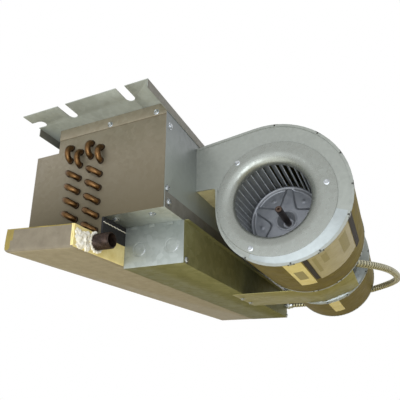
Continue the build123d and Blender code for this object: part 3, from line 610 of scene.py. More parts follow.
class FANCOIL_OT_casing(bpy.types.Operator):
    """Finishes the sheet casing and adds its screws"""

    bl_idname = "fancoil.casing"
    bl_label = "Casing"

    def execute(self, context):
        for node, finishes in SHEET_FINISHES.items():
            dress(node, finishes, context.scene.fancoil_casing.edge)
        screws = Shape()
        for from_rear in END_SCREWS_FROM_REAR:
            spot = (NEAR_X - SHEET, REAR_Y + from_rear, UNDER_Z - END_SCREW_DROP)
            screw(screws, spot, (-1, 0, 0), END_SCREW_RADIUS, END_SCREW_WASHER)
        for side in (-1, 1):
            rear_x = side * (FAR_X - REAR_SCREW_FROM_END)
            low_x = side * (FAR_X - LOW_SCREW_FROM_END)
            under_x = side * (FAR_X - UNDER_SCREW_FROM_END)
            screw(screws, (rear_x, REAR_Y, UNDER_Z - REAR_SCREW_DROP), (0, -1, 0))
            screw(screws, (low_x, REAR_Y, UNDER_Z - LOW_SCREW_DROP), (0, -1, 0))
            screw(screws, (rear_x, REAR_Y - SHEET, BASE_Z + BAND_SCREW_RISE), (0, -1, 0))
            for from_rear in UNDER_SCREWS_FROM_REAR:
                screw(screws, (under_x, REAR_Y + from_rear, BASE_Z), (0, 0, -1))
        screws.piece("casing_screw_heads", "zinc_plated_steel", "screw_zinc", "casing_screws")
        return {"FINISHED"}


TUBE_PITCH = 25.4 * MM
ROW_PITCH = 22 * MM
TUBE_RADIUS = 4.76 * MM
TUBE_ROWS = 4
TUBES_PER_ROW = 7
FED_LEVELS = (0, *range(2, TUBES_PER_ROW))
NEAR_BENDS = [((row, 0), (row, 1)) for row in range(TUBE_ROWS)]
NEAR_BENDS += [((row, level), (row + 1, level)) for row in (0, 2) for level in range(2, TUBES_PER_ROW)]
FAR_BENDS = [((1, level), (2, level)) for level in range(2, TUBES_PER_ROW)]
FAR_BENDS += [((0, 1), (1, 1)), ((1, 0), (2, 0)), ((2, 1), (3, 1))]
BEND_DEPTH = 0.84
BEND_RADIUS = 5.2 * MM
BEND_STEPS = 16
HEADER_RADIUS = 11.1 * MM
HEADER_BORE = 9.9 * MM
HEADER_GAP = 26 * MM
HEADER_DOME = 6 * MM
STUB_LENGTH = 42 * MM
STUB_CHAMFER = 0.4 * MM
FIN_FOLDS = 8
FIN_WAVE = 0.5 * MM


def tube_place(row, level):
    """Where a coil tube crosses an end plate, as (y, z)."""
    lowered = 0 if row % 2 else TUBE_PITCH / 2
    z = FIN_HIGH.z - TUBE_PITCH / 2 - lowered - level * TUBE_PITCH
    return Vector((FIN_LOW.y + ROW_PITCH * (row + 0.5), z))


def return_bends(leg):
    """Round copper bends with a flared socket at each leg, its near-black finish partly painted shade."""
    bends = Shape()
    for pairs, plate_x, outward in ((NEAR_BENDS, NEAR_X, -1), (FAR_BENDS, FAR_X, 1)):
        for first, second in pairs:
            start, end = tube_place(*first), tube_place(*second)
            middle, reach = (start + end) / 2, (end - start) / 2
            path = [Vector((plate_x - outward * 2 * MM, *start))]
            for i in range(BEND_STEPS + 1):
                turn = math.pi * i / BEND_STEPS
                proud = leg + BEND_DEPTH * reach.length * math.sin(turn)
                path.append(Vector((plate_x + outward * proud, *(middle - reach * math.cos(turn)))))
            path.append(Vector((plate_x - outward * 2 * MM, *end)))
            bends.tube(path, BEND_RADIUS)
            for spot in (start, end):
                socket = ((-1, 0.9), (0.8, 0.9), (2.4, 0.6), (3.0, -0.5))
                flare = [(along * MM, BEND_RADIUS + wider * MM) for along, wider in socket]
                bends.turn(flare, (plate_x, *spot), (outward, 0, 0), 18, mark=1)
    return bends


def header(row, stub_level):
    """A round riser with domed caps, its feeders and an open stub."""
    shape = Shape()
    riser_x = FAR_X + HEADER_GAP + HEADER_RADIUS
    y = tube_place(row, 0).x
    low_z = tube_place(row, TUBES_PER_ROW - 1).y - HEADER_RADIUS
    length = (TUBES_PER_ROW - 1) * TUBE_PITCH + 2 * HEADER_RADIUS
    dome = [(0.0, 0.45), (0.06, 0.78), (0.2, 0.95), (0.4, 1.0)]
    riser = [(h * HEADER_DOME, r * HEADER_RADIUS) for h, r in dome]
    riser += [(length - h * HEADER_DOME, r * HEADER_RADIUS) for h, r in reversed(dome)]
    shape.turn(riser, (riser_x, y, low_z), (0, 0, 1))
    fillet = [(0, TUBE_RADIUS + 2.4 * MM), (1.4 * MM, TUBE_RADIUS + 0.7 * MM), (2.4 * MM, TUBE_RADIUS)]
    for level in FED_LEVELS:
        z = tube_place(row, level).y
        feeder = [(-2 * MM, TUBE_RADIUS), (HEADER_GAP + 3 * MM, TUBE_RADIUS)]
        shape.turn(feeder, (FAR_X, y, z), (1, 0, 0), 16)
        shape.turn(fillet, (FAR_X + HEADER_GAP + 0.4 * MM, y, z), (-1, 0, 0), 16)
        shape.turn(fillet, (FAR_X, y, z), (1, 0, 0), 16)
    stub = [
        (HEADER_RADIUS * 0.5, HEADER_RADIUS),
        (STUB_LENGTH - STUB_CHAMFER, HEADER_RADIUS),
        (STUB_LENGTH, HEADER_RADIUS - STUB_CHAMFER),
        (STUB_LENGTH, HEADER_BORE + 0.3 * MM),
        (STUB_LENGTH - 0.3 * MM, HEADER_BORE),
        (HEADER_RADIUS, HEADER_BORE),
        (HEADER_RADIUS, 2 * MM),
        (HEADER_RADIUS * 0.5, 2 * MM),
    ]
    shape.turn(stub, (riser_x, y, tube_place(row, stub_level).y), (1, 0, 0), loop=True)
    return shape


class FANCOIL_OT_coil(bpy.types.Operator):
    """Adds the fins, tubes, bends, headers and vent of the water coil"""

    bl_idname = "fancoil.coil"
    bl_label = "Water coil"

    def execute(self, context):
        look = context.scene.fancoil_coil
        bends = "brazed_copper_tube scaled_brazed_socket"
        return_bends(look.bend_leg).piece(
            "round_return_bends", bends, "copper_tube", "coil_return_bends", crease=50
        )
        for name, row, level in (("supply", 0, TUBES_PER_ROW - 1), ("return", TUBE_ROWS - 1, 0)):
            header(row, level).piece(
                f"{name}_riser", "brazed_copper_tube", "copper_tube", f"{name}_header", crease=50
            )
        self.add_fins(look)
        tubes = Shape()
        for row in range(TUBE_ROWS):
            for level in range(TUBES_PER_ROW):
                run = [(0, TUBE_RADIUS), (FIN_HIGH.x - FIN_LOW.x, TUBE_RADIUS)]
                tubes.turn(run, (FIN_LOW.x, *tube_place(row, level)), (1, 0, 0), 16)
        tubes.piece("coil_tubes", "brazed_copper_tube", "copper_tube")
        self.add_vent()
        return {"FINISHED"}

    def add_fins(self, look):
        """Foils folded in zigzag across the air's way."""
        fins = Shape()
        for i in range(int((FIN_HIGH.x - FIN_LOW.x) / look.fin_pitch)):
            x = FIN_LOW.x + look.fin_pitch * (i + 0.5)
            rings = []
            for j in range(FIN_FOLDS + 1):
                y = FIN_LOW.y + (FIN_HIGH.y - FIN_LOW.y) * j / FIN_FOLDS
                a = x + (FIN_WAVE if j % 2 else -FIN_WAVE)
                b = a + look.fin_thickness
                rings.append([(a, y, FIN_LOW.z), (b, y, FIN_LOW.z), (b, y, FIN_HIGH.z), (a, y, FIN_HIGH.z)])
            fins.skin(rings)
        fins.piece("coil_fins", "rolled_aluminium_fin", "coil_fins", "coil_fin_pack", crease=20)

    def add_vent(self):
        """A small hexagon body with a round cap."""
        low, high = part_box("air_vent")
        foot = ((low.x + high.x) / 2, (low.y + high.y) / 2, low.z)
        radius, half = (high.x - low.x) / 2, (high.z - low.z) / 2
        hexagon = [(0, radius * 0.92), (0.6 * MM, radius), (half - 0.6 * MM, radius), (half, radius * 0.9)]
        shares = ((0.9, 0.5), (1.7, 0.5), (1.9, 0.42), (2, 0.3))
        cap = [(along * half, share * radius) for along, share in shares]
        vent = Shape()
        vent.turn(hexagon, foot, (0, 0, 1), 6)
        vent.turn(cap, foot, (0, 0, 1), 24)
        vent.piece("vent_fitting", "turned_brass", "vent_brass", "air_vent")


# Blower sizes that the boxes don't give
FAN_WIDTH = 241 * MM
FAN_SHEET = 1 * MM
FRONT_REACH = 97.5 * MM
CENTRE_SHIFT = 13 * MM
OUTLET_DROP = 26 * MM
OUTLET_HEIGHT = 86 * MM
CUTOFF_RADIUS = 6 * MM
CUTOFF_STEPS = 6
CUTOFF_RISE = 29 * MM
SCROLL_STEPS = 14
FAN_CENTRES = (FAN_LOW.x + FAN_WIDTH / 2, FAN_HIGH.x - FAN_WIDTH / 2)
RING_RADIUS = 102.5 * MM
RING_SHIFT = 6 * MM
RING_DROP = 1 * MM
RING_PROUD = 1.8 * MM
RING_SPOKES = 120
FLARE_RADIUS = 86 * MM
INLET_RADIUS = 66 * MM
FLARE_DEPTH = 14.5 * MM
DISH_FROM = -161
DISH_TO = -68
DISH_STEPS = 40
DISH_EASE = 7
RING_SCREW_CIRCLE = 93 * MM
RING_SCREW_TURNS = (53.5, 173.5, 293.5)
RING_SCREW_RADIUS = 3.4 * MM
RING_SCREW_WASHER = 4.7 * MM
SEAM_PROUD = 1.2 * MM
SEAM_OVERHANG = 0.9 * MM
CLINCH_TURNS = (96, 130, 154, 179.5, -158, -126, -103, -65)
CLINCH_LENGTH = 7 * MM
CLINCH_REACH = 4.5 * MM
CLINCH_THICKNESS = 1 * MM
CLINCH_SLIT = 1.1 * MM
NOTCH_PROUD = 0.9 * MM
NOTCH_HALF = 1.4 * MM


def scroll_path():
    """The scroll's line from the top of the outlet round the wheel to its lower edge, as (y, z)."""
    bottom, rear, top = AXIS_Z - FAN_LOW.z, AXIS_Y - FAN_LOW.y, FAN_HIGH.z - AXIS_Z
    front_radius, rear_radius = FRONT_REACH + CENTRE_SHIFT, rear - CENTRE_SHIFT
    low_front = (AXIS_Y - CENTRE_SHIFT, AXIS_Z - bottom + front_radius)
    low_rear = (low_front[0], AXIS_Z - bottom + rear_radius)
    top_radius = AXIS_Z + top - low_rear[1]
    high_rear = (AXIS_Y - rear + top_radius, low_rear[1])
    outlet_top = (REAR_Y, UNDER_Z - OUTLET_DROP)
    across, rise = outlet_top[0] - high_rear[0], outlet_top[1] - high_rear[1]
    turn = math.atan2(across, rise) - math.acos(top_radius / math.hypot(across, rise))
    lip = (low_front[0] + front_radius + CUTOFF_RADIUS, AXIS_Z + CUTOFF_RISE)
    path = [outlet_top]
    path += arc(high_rear, top_radius, 90 - math.degrees(turn), 180, SCROLL_STEPS + 4)
    path += arc(low_rear, rear_radius, 180, 270, SCROLL_STEPS)[1:]
    path += arc(low_front, front_radius, 270, 360, SCROLL_STEPS)[1:]
    path += arc(lip, CUTOFF_RADIUS, 180, 90, CUTOFF_STEPS)
    return [*path, (REAR_Y, outlet_top[1] - OUTLET_HEIGHT)]


def inset_path(path, distance):
    """A line moved to its left by a distance, which is into the scroll."""
    moved = []
    for i, point in enumerate(path):
        along = Vector(path[min(i + 1, len(path) - 1)]) - Vector(path[max(i - 1, 0)])
        along.normalize()
        moved.append((point[0] - along.y * distance, point[1] + along.x * distance))
    return moved


def scroll_reach(path, degrees):
    """Distance from the axis to the scroll at an angle."""
    ray = Vector((math.cos(math.radians(degrees)), math.sin(math.radians(degrees))))
    found = []
    for a, b in zip(path, path[1:]):
        start = Vector((a[0] - AXIS_Y, a[1] - AXIS_Z))
        run = Vector((b[0] - a[0], b[1] - a[1]))
        cross = ray.x * run.y - ray.y * run.x
        if abs(cross) < 1e-12:
            continue
        along = (start.x * run.y - start.y * run.x) / cross
        part = (start.x * ray.y - start.y * ray.x) / cross
        if along > 0 and -1e-6 <= part <= 1 + 1e-6:
            found.append(along)
    return min(found)


def ring_reach(degrees):
    """Distance from the axis to the edge of the inlet ring, whose circle is off centre."""
    turn = math.radians(degrees)
    centre = Vector((-RING_SHIFT, -RING_DROP))
    along = Vector((math.cos(turn), math.sin(turn))).dot(centre)
    return along + math.sqrt(along ** 2 - centre.length_squared + RING_RADIUS ** 2)


def spoke(degrees, profile, plate_x, side):
    """A profile of (outward, radius) pairs, stood on a plate at an angle round the axis."""
    return [(plate_x + side * outward, *on_circle(degrees, radius)) for outward, radius in profile]


def inlet_ring(shape, plate_x, side):
    """A spun ring: a flat flange, a rounded flare and a rolled lip at the throat."""
    quarter = [math.radians(90 * i / 10) for i in range(11)]
    deep, wide = FLARE_DEPTH, FLARE_RADIUS - INLET_RADIUS
    root = RING_PROUD - deep
    flare = [(root + deep * math.cos(t), FLARE_RADIUS - wide * math.sin(t)) for t in quarter]
    rolled = ((1.0, 0.1), (1.6, 0.8), (1.2, 1.8))
    lip = [(root - behind * MM, INLET_RADIUS + wider * MM) for behind, wider in rolled]
    back = [
        (root + (deep - FAN_SHEET) * math.cos(t), FLARE_RADIUS - (wide - FAN_SHEET) * math.sin(t))
        for t in reversed(quarter)
    ]
    throat = [*flare, *lip, *back, (0, FLARE_RADIUS + 2 * MM)]
    rings = []
    for i in range(RING_SPOKES):
        degrees = 360 * i / RING_SPOKES
        edge = ring_reach(degrees)
        flange = [(0, edge), (RING_PROUD - 0.5 * MM, edge), (RING_PROUD, edge - 0.5 * MM)]
        rings.append(spoke(degrees, flange + throat, plate_x, side))
    shape.skin(rings, loop=True)


def dish_slope(shape, path, plate_x, side, seam):
    """The pressed slope between the inlet ring and the seam, where the scroll is widest, in a bright finish
    that paints a highlight.
    """
    rings = []
    for i in range(DISH_STEPS + 1):
        degrees = DISH_FROM + (DISH_TO - DISH_FROM) * i / DISH_STEPS
        inner = ring_reach(degrees) - 0.3 * MM
        outer = max(scroll_reach(path, degrees) - seam, inner + 0.6 * MM)
        ease = soft_step(min(i, DISH_STEPS - i), 0, DISH_EASE)
        rise = 0.2 * MM + (RING_PROUD + 0.3 * MM) * ease
        profile = [(0, inner), (rise, inner), (0.15 * MM + 0.35 * MM * ease, outer), (0, outer)]
        rings.append(spoke(degrees, profile, plate_x, side))
    shape.skin(rings, mark=1)


def clinch_tab(shape, path, degrees, x_low, x_high):
    """A tab of the side plate folded over the edge of the wrap, with a slit at each end drawn as a dark
    block, which is painted shade.
    """
    ahead = Vector(on_circle(degrees + 1, scroll_reach(path, degrees + 1)))
    along = ahead - Vector(on_circle(degrees - 1, scroll_reach(path, degrees - 1)))
    tilt = Matrix.Rotation(math.atan2(along.y, along.x), 3, "X")
    half = Vector((x_high - x_low, CLINCH_LENGTH, CLINCH_THICKNESS)) / 2
    spot = on_circle(degrees, scroll_reach(path, degrees) + CLINCH_THICKNESS / 2)
    middle = Vector(((x_low + x_high) / 2, *spot))
    shape.block(middle - half, middle + half, tilt=tilt)
    slit = Vector((half.x, CLINCH_SLIT, half.z * 0.8))
    for end in (-1, 1):
        beside = middle + tilt @ Vector((0, end * (half.y + slit.y), 0))
        shape.block(beside - slit, beside + slit, 1, tilt)


def seam_notch(shape, path, degrees, face, side, seam):
    """The shaded notch in the seam where a tab starts."""
    spot = on_circle(degrees, scroll_reach(path, degrees) + NOTCH_PROUD - seam / 2)
    half = Vector((0.15 * MM, seam / 2, NOTCH_HALF))
    middle = Vector((face + side * 0.05 * MM, *spot))
    shape.block(middle - half, middle + half, 1, Matrix.Rotation(math.radians(degrees), 3, "X"))


class FANCOIL_OT_housings(bpy.types.Operator):
    """Adds the blower scrolls, side plates, inlet rings and their screws"""

    bl_idname = "fancoil.housings"
    bl_label = "Blower housings"

    def execute(self, context):
        seam = context.scene.fancoil_fan.seam
        path = scroll_path()
        wraps, plates, rings, tabs, screws = Shape(), Shape(), Shape(), Shape(), Shape()
        hole = [on_circle(360 * i / RING_SPOKES, FLARE_RADIUS) for i in range(RING_SPOKES)]
        inner_path = inset_path(path, FAN_SHEET)
        # A wrap's last faces: the turn round the cutoff, the flat after it and both ends, which take the
        # paler cutoff sheet as painted light
        cutoff_faces = 4 * (CUTOFF_STEPS + 1) + 2
        for centre_x in FAN_CENTRES:
            half = FAN_WIDTH / 2
            wraps.strip(path, inner_path, centre_x - half + FAN_SHEET, centre_x + half - FAN_SHEET)
            wraps.marks[-cutoff_faces:] = [1] * cutoff_faces
            for side in (-1, 1):
                face = centre_x + side * half
                inner = face - side * FAN_SHEET
                plates.plate(path, hole, min(face, inner), max(face, inner))
                proud = face + side * SEAM_PROUD
                seam_lines = inset_path(path, -SEAM_OVERHANG), inset_path(path, seam)
                plates.strip(*seam_lines, min(inner, proud), max(inner, proud))
                dish_slope(plates, path, face, side, seam)
                inlet_ring(rings, face, side)
                deep = face - side * CLINCH_REACH
                for degrees in CLINCH_TURNS:
                    clinch_tab(tabs, path, degrees, min(proud, deep), max(proud, deep))
                    seam_notch(tabs, path, degrees, proud, side, seam)
                for degrees in RING_SCREW_TURNS:
                    spot = (face + side * RING_PROUD, *on_circle(degrees, RING_SCREW_CIRCLE))
                    screw(screws, spot, (side, 0, 0), RING_SCREW_RADIUS, RING_SCREW_WASHER, degrees)
        wrap_looks = "yellow_chromated_sheet bright_cutoff_sheet"
        wraps.piece("scroll_wraps", wrap_looks, "fan_sheet", "blower_wraps blower_cutoffs")
        plate_looks = "galvanised_fan_sheet burnished_slope_sheet"
        plates.piece("scroll_side_plates", plate_looks, "fan_sheet", "blower_side_plates", bevel=0.3 * MM)
        rings.piece("flared_inlet_rings", "spun_ring_sheet", "fan_sheet", "blower_inlet_rings", crease=40)
        tabs.piece("clinch_tabs", "galvanised_fan_sheet shaded_clinch_slit", "fan_sheet", bevel=0.3 * MM)
        screws.piece("ring_screw_heads", "zinc_plated_steel", "screw_zinc", "inlet_ring_screws")
        return {"FINISHED"}


BLADE_ROOT = 71 * MM
BLADE_TIP = 82 * MM
BLADE_SWEEP = 9
BLADE_BOW = 2.4 * MM
BLADE_STEPS = 8
BLADE_THICKNESS = 0.7 * MM
BLADE_HEM = 0.8 * MM
WHEEL_HALF = 102.5 * MM
END_RING_WIDTH = 3 * MM
END_RING_ROUNDING = 0.8 * MM
DISC_RADIUS = 70.6 * MM
DISC_HALF_THICKNESS = 0.6 * MM
DISC_STEPS = 44
DISC_SPOKES = 200
CUP_RADIUS = 17.5 * MM
PETAL_CORNER = 23.5 * MM
PETAL_ROUNDING = 5 * MM
PETAL_SPREAD = math.radians(48)
PETAL_TURN = -9
PETAL_WALL = 3.2 * MM
PETAL_RIM = (62 * MM, 65.5 * MM)
BEAD_RISE = (65.5 * MM, 67 * MM)
BEAD_FALL = (68.5 * MM, 70 * MM)
BEAD_HEIGHT = 1.3 * MM
DIMPLE_CIRCLE = 49 * MM
DIMPLE_RADIUS = 4.5 * MM
DIMPLE_HEIGHT = 0.6 * MM
# Sections in mm as (along, radius): the hub from the disc's face inwards, the shaft from its end
HUB_SECTION = (
    (0.6, 21.5), (2.2, 21.5), (2.6, 21.1), (3.0, 19.9), (19.5, 13.3), (21.0, 13.0), (34.0, 13.0),
    (34.6, 12.4), (34.6, 6.45), (20.6, 6.45), (20.6, 9.2), (19.9, 10.3), (2.5, 16.9), (0.2, 17.6),
    (-1.4, 18.2), (-1.8, 19.0), (-1.4, 20.2), (-0.6, 21.0),
)
SHAFT_END = ((2.6, 0.3), (1.6, 1.5), (0, 2.2), (0, SHAFT_RADIUS / MM - 0.9), (0.9, SHAFT_RADIUS / MM))


def disc_relief(radius, degrees, look):
    """How far the pressed disc stands towards the motor at a spot."""
    share = 360 / look.petals
    from_petal = math.radians((degrees - PETAL_TURN + share / 2) % share - share / 2)
    u, across = radius * math.cos(from_petal), radius * math.sin(from_petal)
    v = math.hypot(across, PETAL_ROUNDING)
    inside = (u - PETAL_CORNER) * math.sin(PETAL_SPREAD) - v * math.cos(PETAL_SPREAD)
    petal = soft_step(inside, 0, PETAL_WALL) * (1 - soft_step(radius, *PETAL_RIM))
    dimple = 1 - soft_step(math.hypot(u - DIMPLE_CIRCLE, across), DIMPLE_RADIUS * 0.4, DIMPLE_RADIUS)
    bead = soft_step(radius, *BEAD_RISE) * (1 - soft_step(radius, *BEAD_FALL))
    return look.petal_depth * petal - DIMPLE_HEIGHT * dimple - BEAD_HEIGHT * bead


def wheel_disc(shape, centre_x, inward, look):
    """A pressed disc with recessed petals, a dimple in each and a rim bead."""
    radii = [CUP_RADIUS + (DISC_RADIUS - CUP_RADIUS) * i / DISC_STEPS for i in range(DISC_STEPS + 1)]
    rings = []
    for i in range(DISC_SPOKES):
        degrees = 360 * i / DISC_SPOKES
        relief = [(disc_relief(radius, degrees, look), radius) for radius in radii]
        front = [(depth - DISC_HALF_THICKNESS, radius) for depth, radius in relief]
        back = [(depth + DISC_HALF_THICKNESS, radius) for depth, radius in reversed(relief)]
        rings.append(spoke(degrees, front + back, centre_x, inward))
    shape.skin(rings, loop=True)


def wheel_blades(shape, centre_x, count):
    """Forward-curved blades between the two end rings, each with a folded inner edge that carries a painted
    highlight.
    """
    root = Vector((BLADE_ROOT - 0.4 * MM, 0))
    sweep = math.radians(BLADE_SWEEP)
    tip = Vector((math.cos(sweep), -math.sin(sweep))) * BLADE_TIP
    chord = (tip - root).normalized()
    backward = Vector((-chord.y, chord.x))
    axis = Vector((AXIS_Y, AXIS_Z))
    ends = [centre_x + side * (WHEEL_HALF - END_RING_WIDTH / 2) for side in (-1, 1)]
    for i in range(count):
        turn = Matrix.Rotation(2 * math.pi * i / count, 2)
        front, back = [], []
        for j in range(BLADE_STEPS + 1):
            t = j / BLADE_STEPS
            spot = root + (tip - root) * t + backward * 4 * BLADE_BOW * t * (1 - t)
            front.append(axis + turn @ spot)
            back.append(axis + turn @ (spot - backward * BLADE_THICKNESS))
        shape.strip(front, back, *ends)
        shape.tube([Vector((x, *(axis + turn @ root))) for x in ends], BLADE_HEM, 8, mark=1)


def end_ring(shape, ring_x):
    """A rolled ring that carries the blade ends."""
    low, high, half = BLADE_ROOT - 1 * MM, BLADE_TIP + 1 * MM, END_RING_WIDTH / 2
    soft = END_RING_ROUNDING
    profile = [
        (-half, low + soft), (-half, high - soft), (-half + soft, high), (half - soft, high),
        (half, high - soft), (half, low + soft), (half - soft, low), (-half + soft, low),
    ]
    shape.turn(profile, (ring_x, AXIS_Y, AXIS_Z), (1, 0, 0), 114, loop=True)


class FANCOIL_OT_wheels(bpy.types.Operator):
    """Adds both blower wheels, their hubs and the motor shaft"""

    bl_idname = "fancoil.wheels"
    bl_label = "Blower wheels"

    def execute(self, context):
        look = context.scene.fancoil_wheel
        blades, rings, discs, hubs, shaft = Shape(), Shape(), Shape(), Shape(), Shape()
        hub = [(along * MM, radius * MM) for along, radius in HUB_SECTION]
        for centre_x in FAN_CENTRES:
            inward = 1 if centre_x < MOTOR_X else -1
            wheel_blades(blades, centre_x, look.blades)
            for side in (-1, 1):
                end_ring(rings, centre_x + side * (WHEEL_HALF - END_RING_WIDTH / 2))
            wheel_disc(discs, centre_x, inward, look)
            hubs.turn(hub, (centre_x, AXIS_Y, AXIS_Z), (inward, 0, 0), 64, loop=True)
        length = SHAFT_HIGH.x - SHAFT_LOW.x
        bar = [(along * MM, radius * MM) for along, radius in SHAFT_END]
        bar += [(length - along, radius) for along, radius in reversed(bar)]
        shaft.turn(bar, (SHAFT_LOW.x, AXIS_Y, AXIS_Z), (1, 0, 0), 40)
        # The pale strip of the blades and end rings is painted light
        blade_looks = "bright_blade_strip hemmed_blade_edge"
        blades.piece("curved_blades", blade_looks, "fan_sheet", "wheel_blades", "rotor")
        rings.piece("rolled_end_rings", "bright_blade_strip", "fan_sheet", "wheel_end_rings", "rotor")
        discs.piece("pressed_discs", "galvanised_wheel_strip", "fan_sheet", "wheel_discs", "rotor", crease=50)
        hubs.piece("cup_hubs", "cast_zinc_hub", "ground_shaft", "wheel_hubs", "rotor")
        shaft.piece("rotor_shaft", "ground_shaft_steel", "ground_shaft", "motor_shaft", "rotor")
        return {"FINISHED"}


MOTOR_RADIUS = 63.5 * MM
MOTOR_HALF = 42 * MM
MOTOR_RIM = 9 * MM
BELL_RIM = 4 * MM
BELL_DEPTH = 16 * MM
BELL_FLAT = 22 * MM
BELL_SHOULDER = 1.5 * MM
BELL_STEPS = 8
BELL_SCREWS = 4
BOSS_RADIUS = 14 * MM
BOSS_LENGTH = 12 * MM
BOSS_CHAMFER = 0.6 * MM
MOUNT_RADIUS = 24 * MM
MOUNT_WIDTH = 9 * MM
CRADLE_SCREW_SPREAD = 31 * MM
CRADLE_SCREW_FROM_REAR = 13 * MM


class FANCOIL_OT_motor(bpy.types.Operator):
    """Adds the motor between the blowers and the screws of its cradle"""

    bl_idname = "fancoil.motor"
    bl_label = "Motor"

    def execute(self, context):
        shell, bells, mounts, screws = Shape(), Shape(), Shape(), Shape()
        bore = SHAFT_RADIUS + 0.3 * MM
        centre = Vector((MOTOR_X, AXIS_Y, AXIS_Z))
        rim = MOTOR_HALF - MOTOR_RIM
        half_shell = [
            (MOTOR_HALF, bore), (MOTOR_HALF, MOTOR_RADIUS - 0.6 * MM), (MOTOR_HALF - 0.6 * MM, MOTOR_RADIUS),
            (rim, MOTOR_RADIUS), (rim - 0.6 * MM, MOTOR_RADIUS - 0.8 * MM),
        ]
        body = [(-along, radius) for along, radius in half_shell] + half_shell[::-1]
        shell.turn(body, centre, (1, 0, 0), 72, loop=True)
        dome_from = BELL_RIM + BELL_SHOULDER
        dome = [(BELL_RIM, MOTOR_RADIUS), (dome_from, MOTOR_RADIUS - 0.5 * MM)]
        for i in range(1, BELL_STEPS + 1):
            turn = math.pi / 2 * i / BELL_STEPS
            fall = (MOTOR_RADIUS - BELL_FLAT) * (1 - math.cos(turn)) + 0.5 * MM
            dome.append((dome_from + (BELL_DEPTH - dome_from) * math.sin(turn), MOTOR_RADIUS - fall))
        boss_end = BELL_DEPTH + BOSS_LENGTH
        bell = [
            (0, bore), (0, MOTOR_RADIUS), *dome, (BELL_DEPTH, BOSS_RADIUS),
            (boss_end - BOSS_CHAMFER, BOSS_RADIUS), (boss_end, BOSS_RADIUS - BOSS_CHAMFER), (boss_end, bore),
        ]
        start = BELL_DEPTH + (BOSS_LENGTH - MOUNT_WIDTH) / 2
        middle, end = start + MOUNT_WIDTH / 2, start + MOUNT_WIDTH
        cushion = [
            (start, BOSS_RADIUS), (start, MOUNT_RADIUS - 2 * MM), (start + 1 * MM, MOUNT_RADIUS),
            (middle - 1.2 * MM, MOUNT_RADIUS), (middle + 1.2 * MM, MOUNT_RADIUS),
            (end - 1 * MM, MOUNT_RADIUS), (end, MOUNT_RADIUS - 2 * MM), (end, BOSS_RADIUS),
        ]
        for side in (-1, 1):
            face = centre + Vector((side * MOTOR_HALF, 0, 0))
            bells.turn(bell, face, (side, 0, 0), 72, loop=True)
            mounts.turn(cushion, face, (side, 0, 0), 48, loop=True)
            for i in range(BELL_SCREWS):
                spot = on_circle(45 + 360 * i / BELL_SCREWS, MOTOR_RADIUS - 9 * MM)
                screw(screws, (face.x + side * (BELL_RIM + 2 * MM), *spot), (side, 0, 0), 3.6 * MM, 4.4 * MM)
            spot = (MOTOR_X + side * CRADLE_SCREW_SPREAD, REAR_Y + CRADLE_SCREW_FROM_REAR, CRADLE_LOW.z)
            screw(screws, spot, (0, 0, -1))
        shell.piece("motor_body", "baked_motor_enamel", "motor_enamel", "motor_shell")
        bells.piece("domed_end_bells", "baked_motor_enamel", "motor_enamel", "motor_end_bells")
        mounts.piece("rubber_mount_rings", "moulded_mount_rubber", "mount_rubber", "motor_rubber_rings")
        screws.piece("motor_and_cradle_screws", "zinc_plated_steel", "screw_zinc", "cradle_screws")
        return {"FINISHED"}


CONDUIT_DIAMETER = 17 * MM
CONDUIT_SIDES = 24
CONNECTOR_RADIUS = 12.5 * MM
CONNECTOR_LENGTH = 22 * MM
# The conduit's way in mm: from the near end, from the rear face and below the top
CONDUIT_ROUTE = [
    Vector((NEAR_X + from_end * MM, REAR_Y + from_rear * MM, UNDER_Z - drop * MM))
    for from_end, from_rear, drop in (
        (427, -201, 190), (453, -240, 192), (502, -279, 190), (560, -308, 189),
        (625, -324, 190), (690, -326, 188), (748, -307, 187), (788, -262, 192),
        (803, -205, 201), (799, -145, 213), (787, -86, 224), (787, -26, 224),
    )
]


def smooth_line(route, step):
    """Evenly spaced points on the smooth spline that the route steers."""
    curve = bpy.data.curves.new("route", "CURVE")
    curve.dimensions = "3D"
    curve.resolution_u = 40
    spline = curve.splines.new("NURBS")
    spline.points.add(len(route) - 1)
    for point, target in zip(route, spline.points):
        target.co = (*point, 1)
    spline.order_u = 3
    spline.use_endpoint_u = True
    holder = bpy.data.objects.new("route", curve)
    bpy.context.scene.collection.objects.link(holder)
    line = bpy.data.meshes.new_from_object(holder)
    points = [vertex.co.copy() for vertex in line.vertices]
    bpy.data.objects.remove(holder)
    bpy.data.curves.remove(curve)
    bpy.data.meshes.remove(line)
    even, travelled, target = [points[0]], 0.0, step
    for a, b in zip(points, points[1:]):
        run = (b - a).length
        while run > 0 and travelled + run >= target:
            even.append(a.lerp(b, (target - travelled) / run))
            target += step
        travelled += run
    return even


def connector(end, direction):
    """A zinc fitting: a hexagon nut, a ribbed sleeve and a clamping rim."""
    r, n = CONNECTOR_RADIUS, CONNECTOR_LENGTH
    fitting = Shape()
    nut = [(0.34 * n, r * 0.93), (0.37 * n, r), (0.63 * n, r), (0.66 * n, r * 0.93)]
    fitting.turn(nut, end, direction, 6)
    sleeve = [
        (-2 * MM, r * 0.72), (-2 * MM, r * 0.82), (-1 * MM, r * 0.86), (0.34 * n, r * 0.86),
        (0.66 * n, r * 0.82), (0.7 * n, r * 0.95), (0.78 * n, r * 0.95), (0.8 * n, r * 0.78), (n, r * 0.78),
    ]
    fitting.turn(sleeve, end, direction, 40)
    return fitting


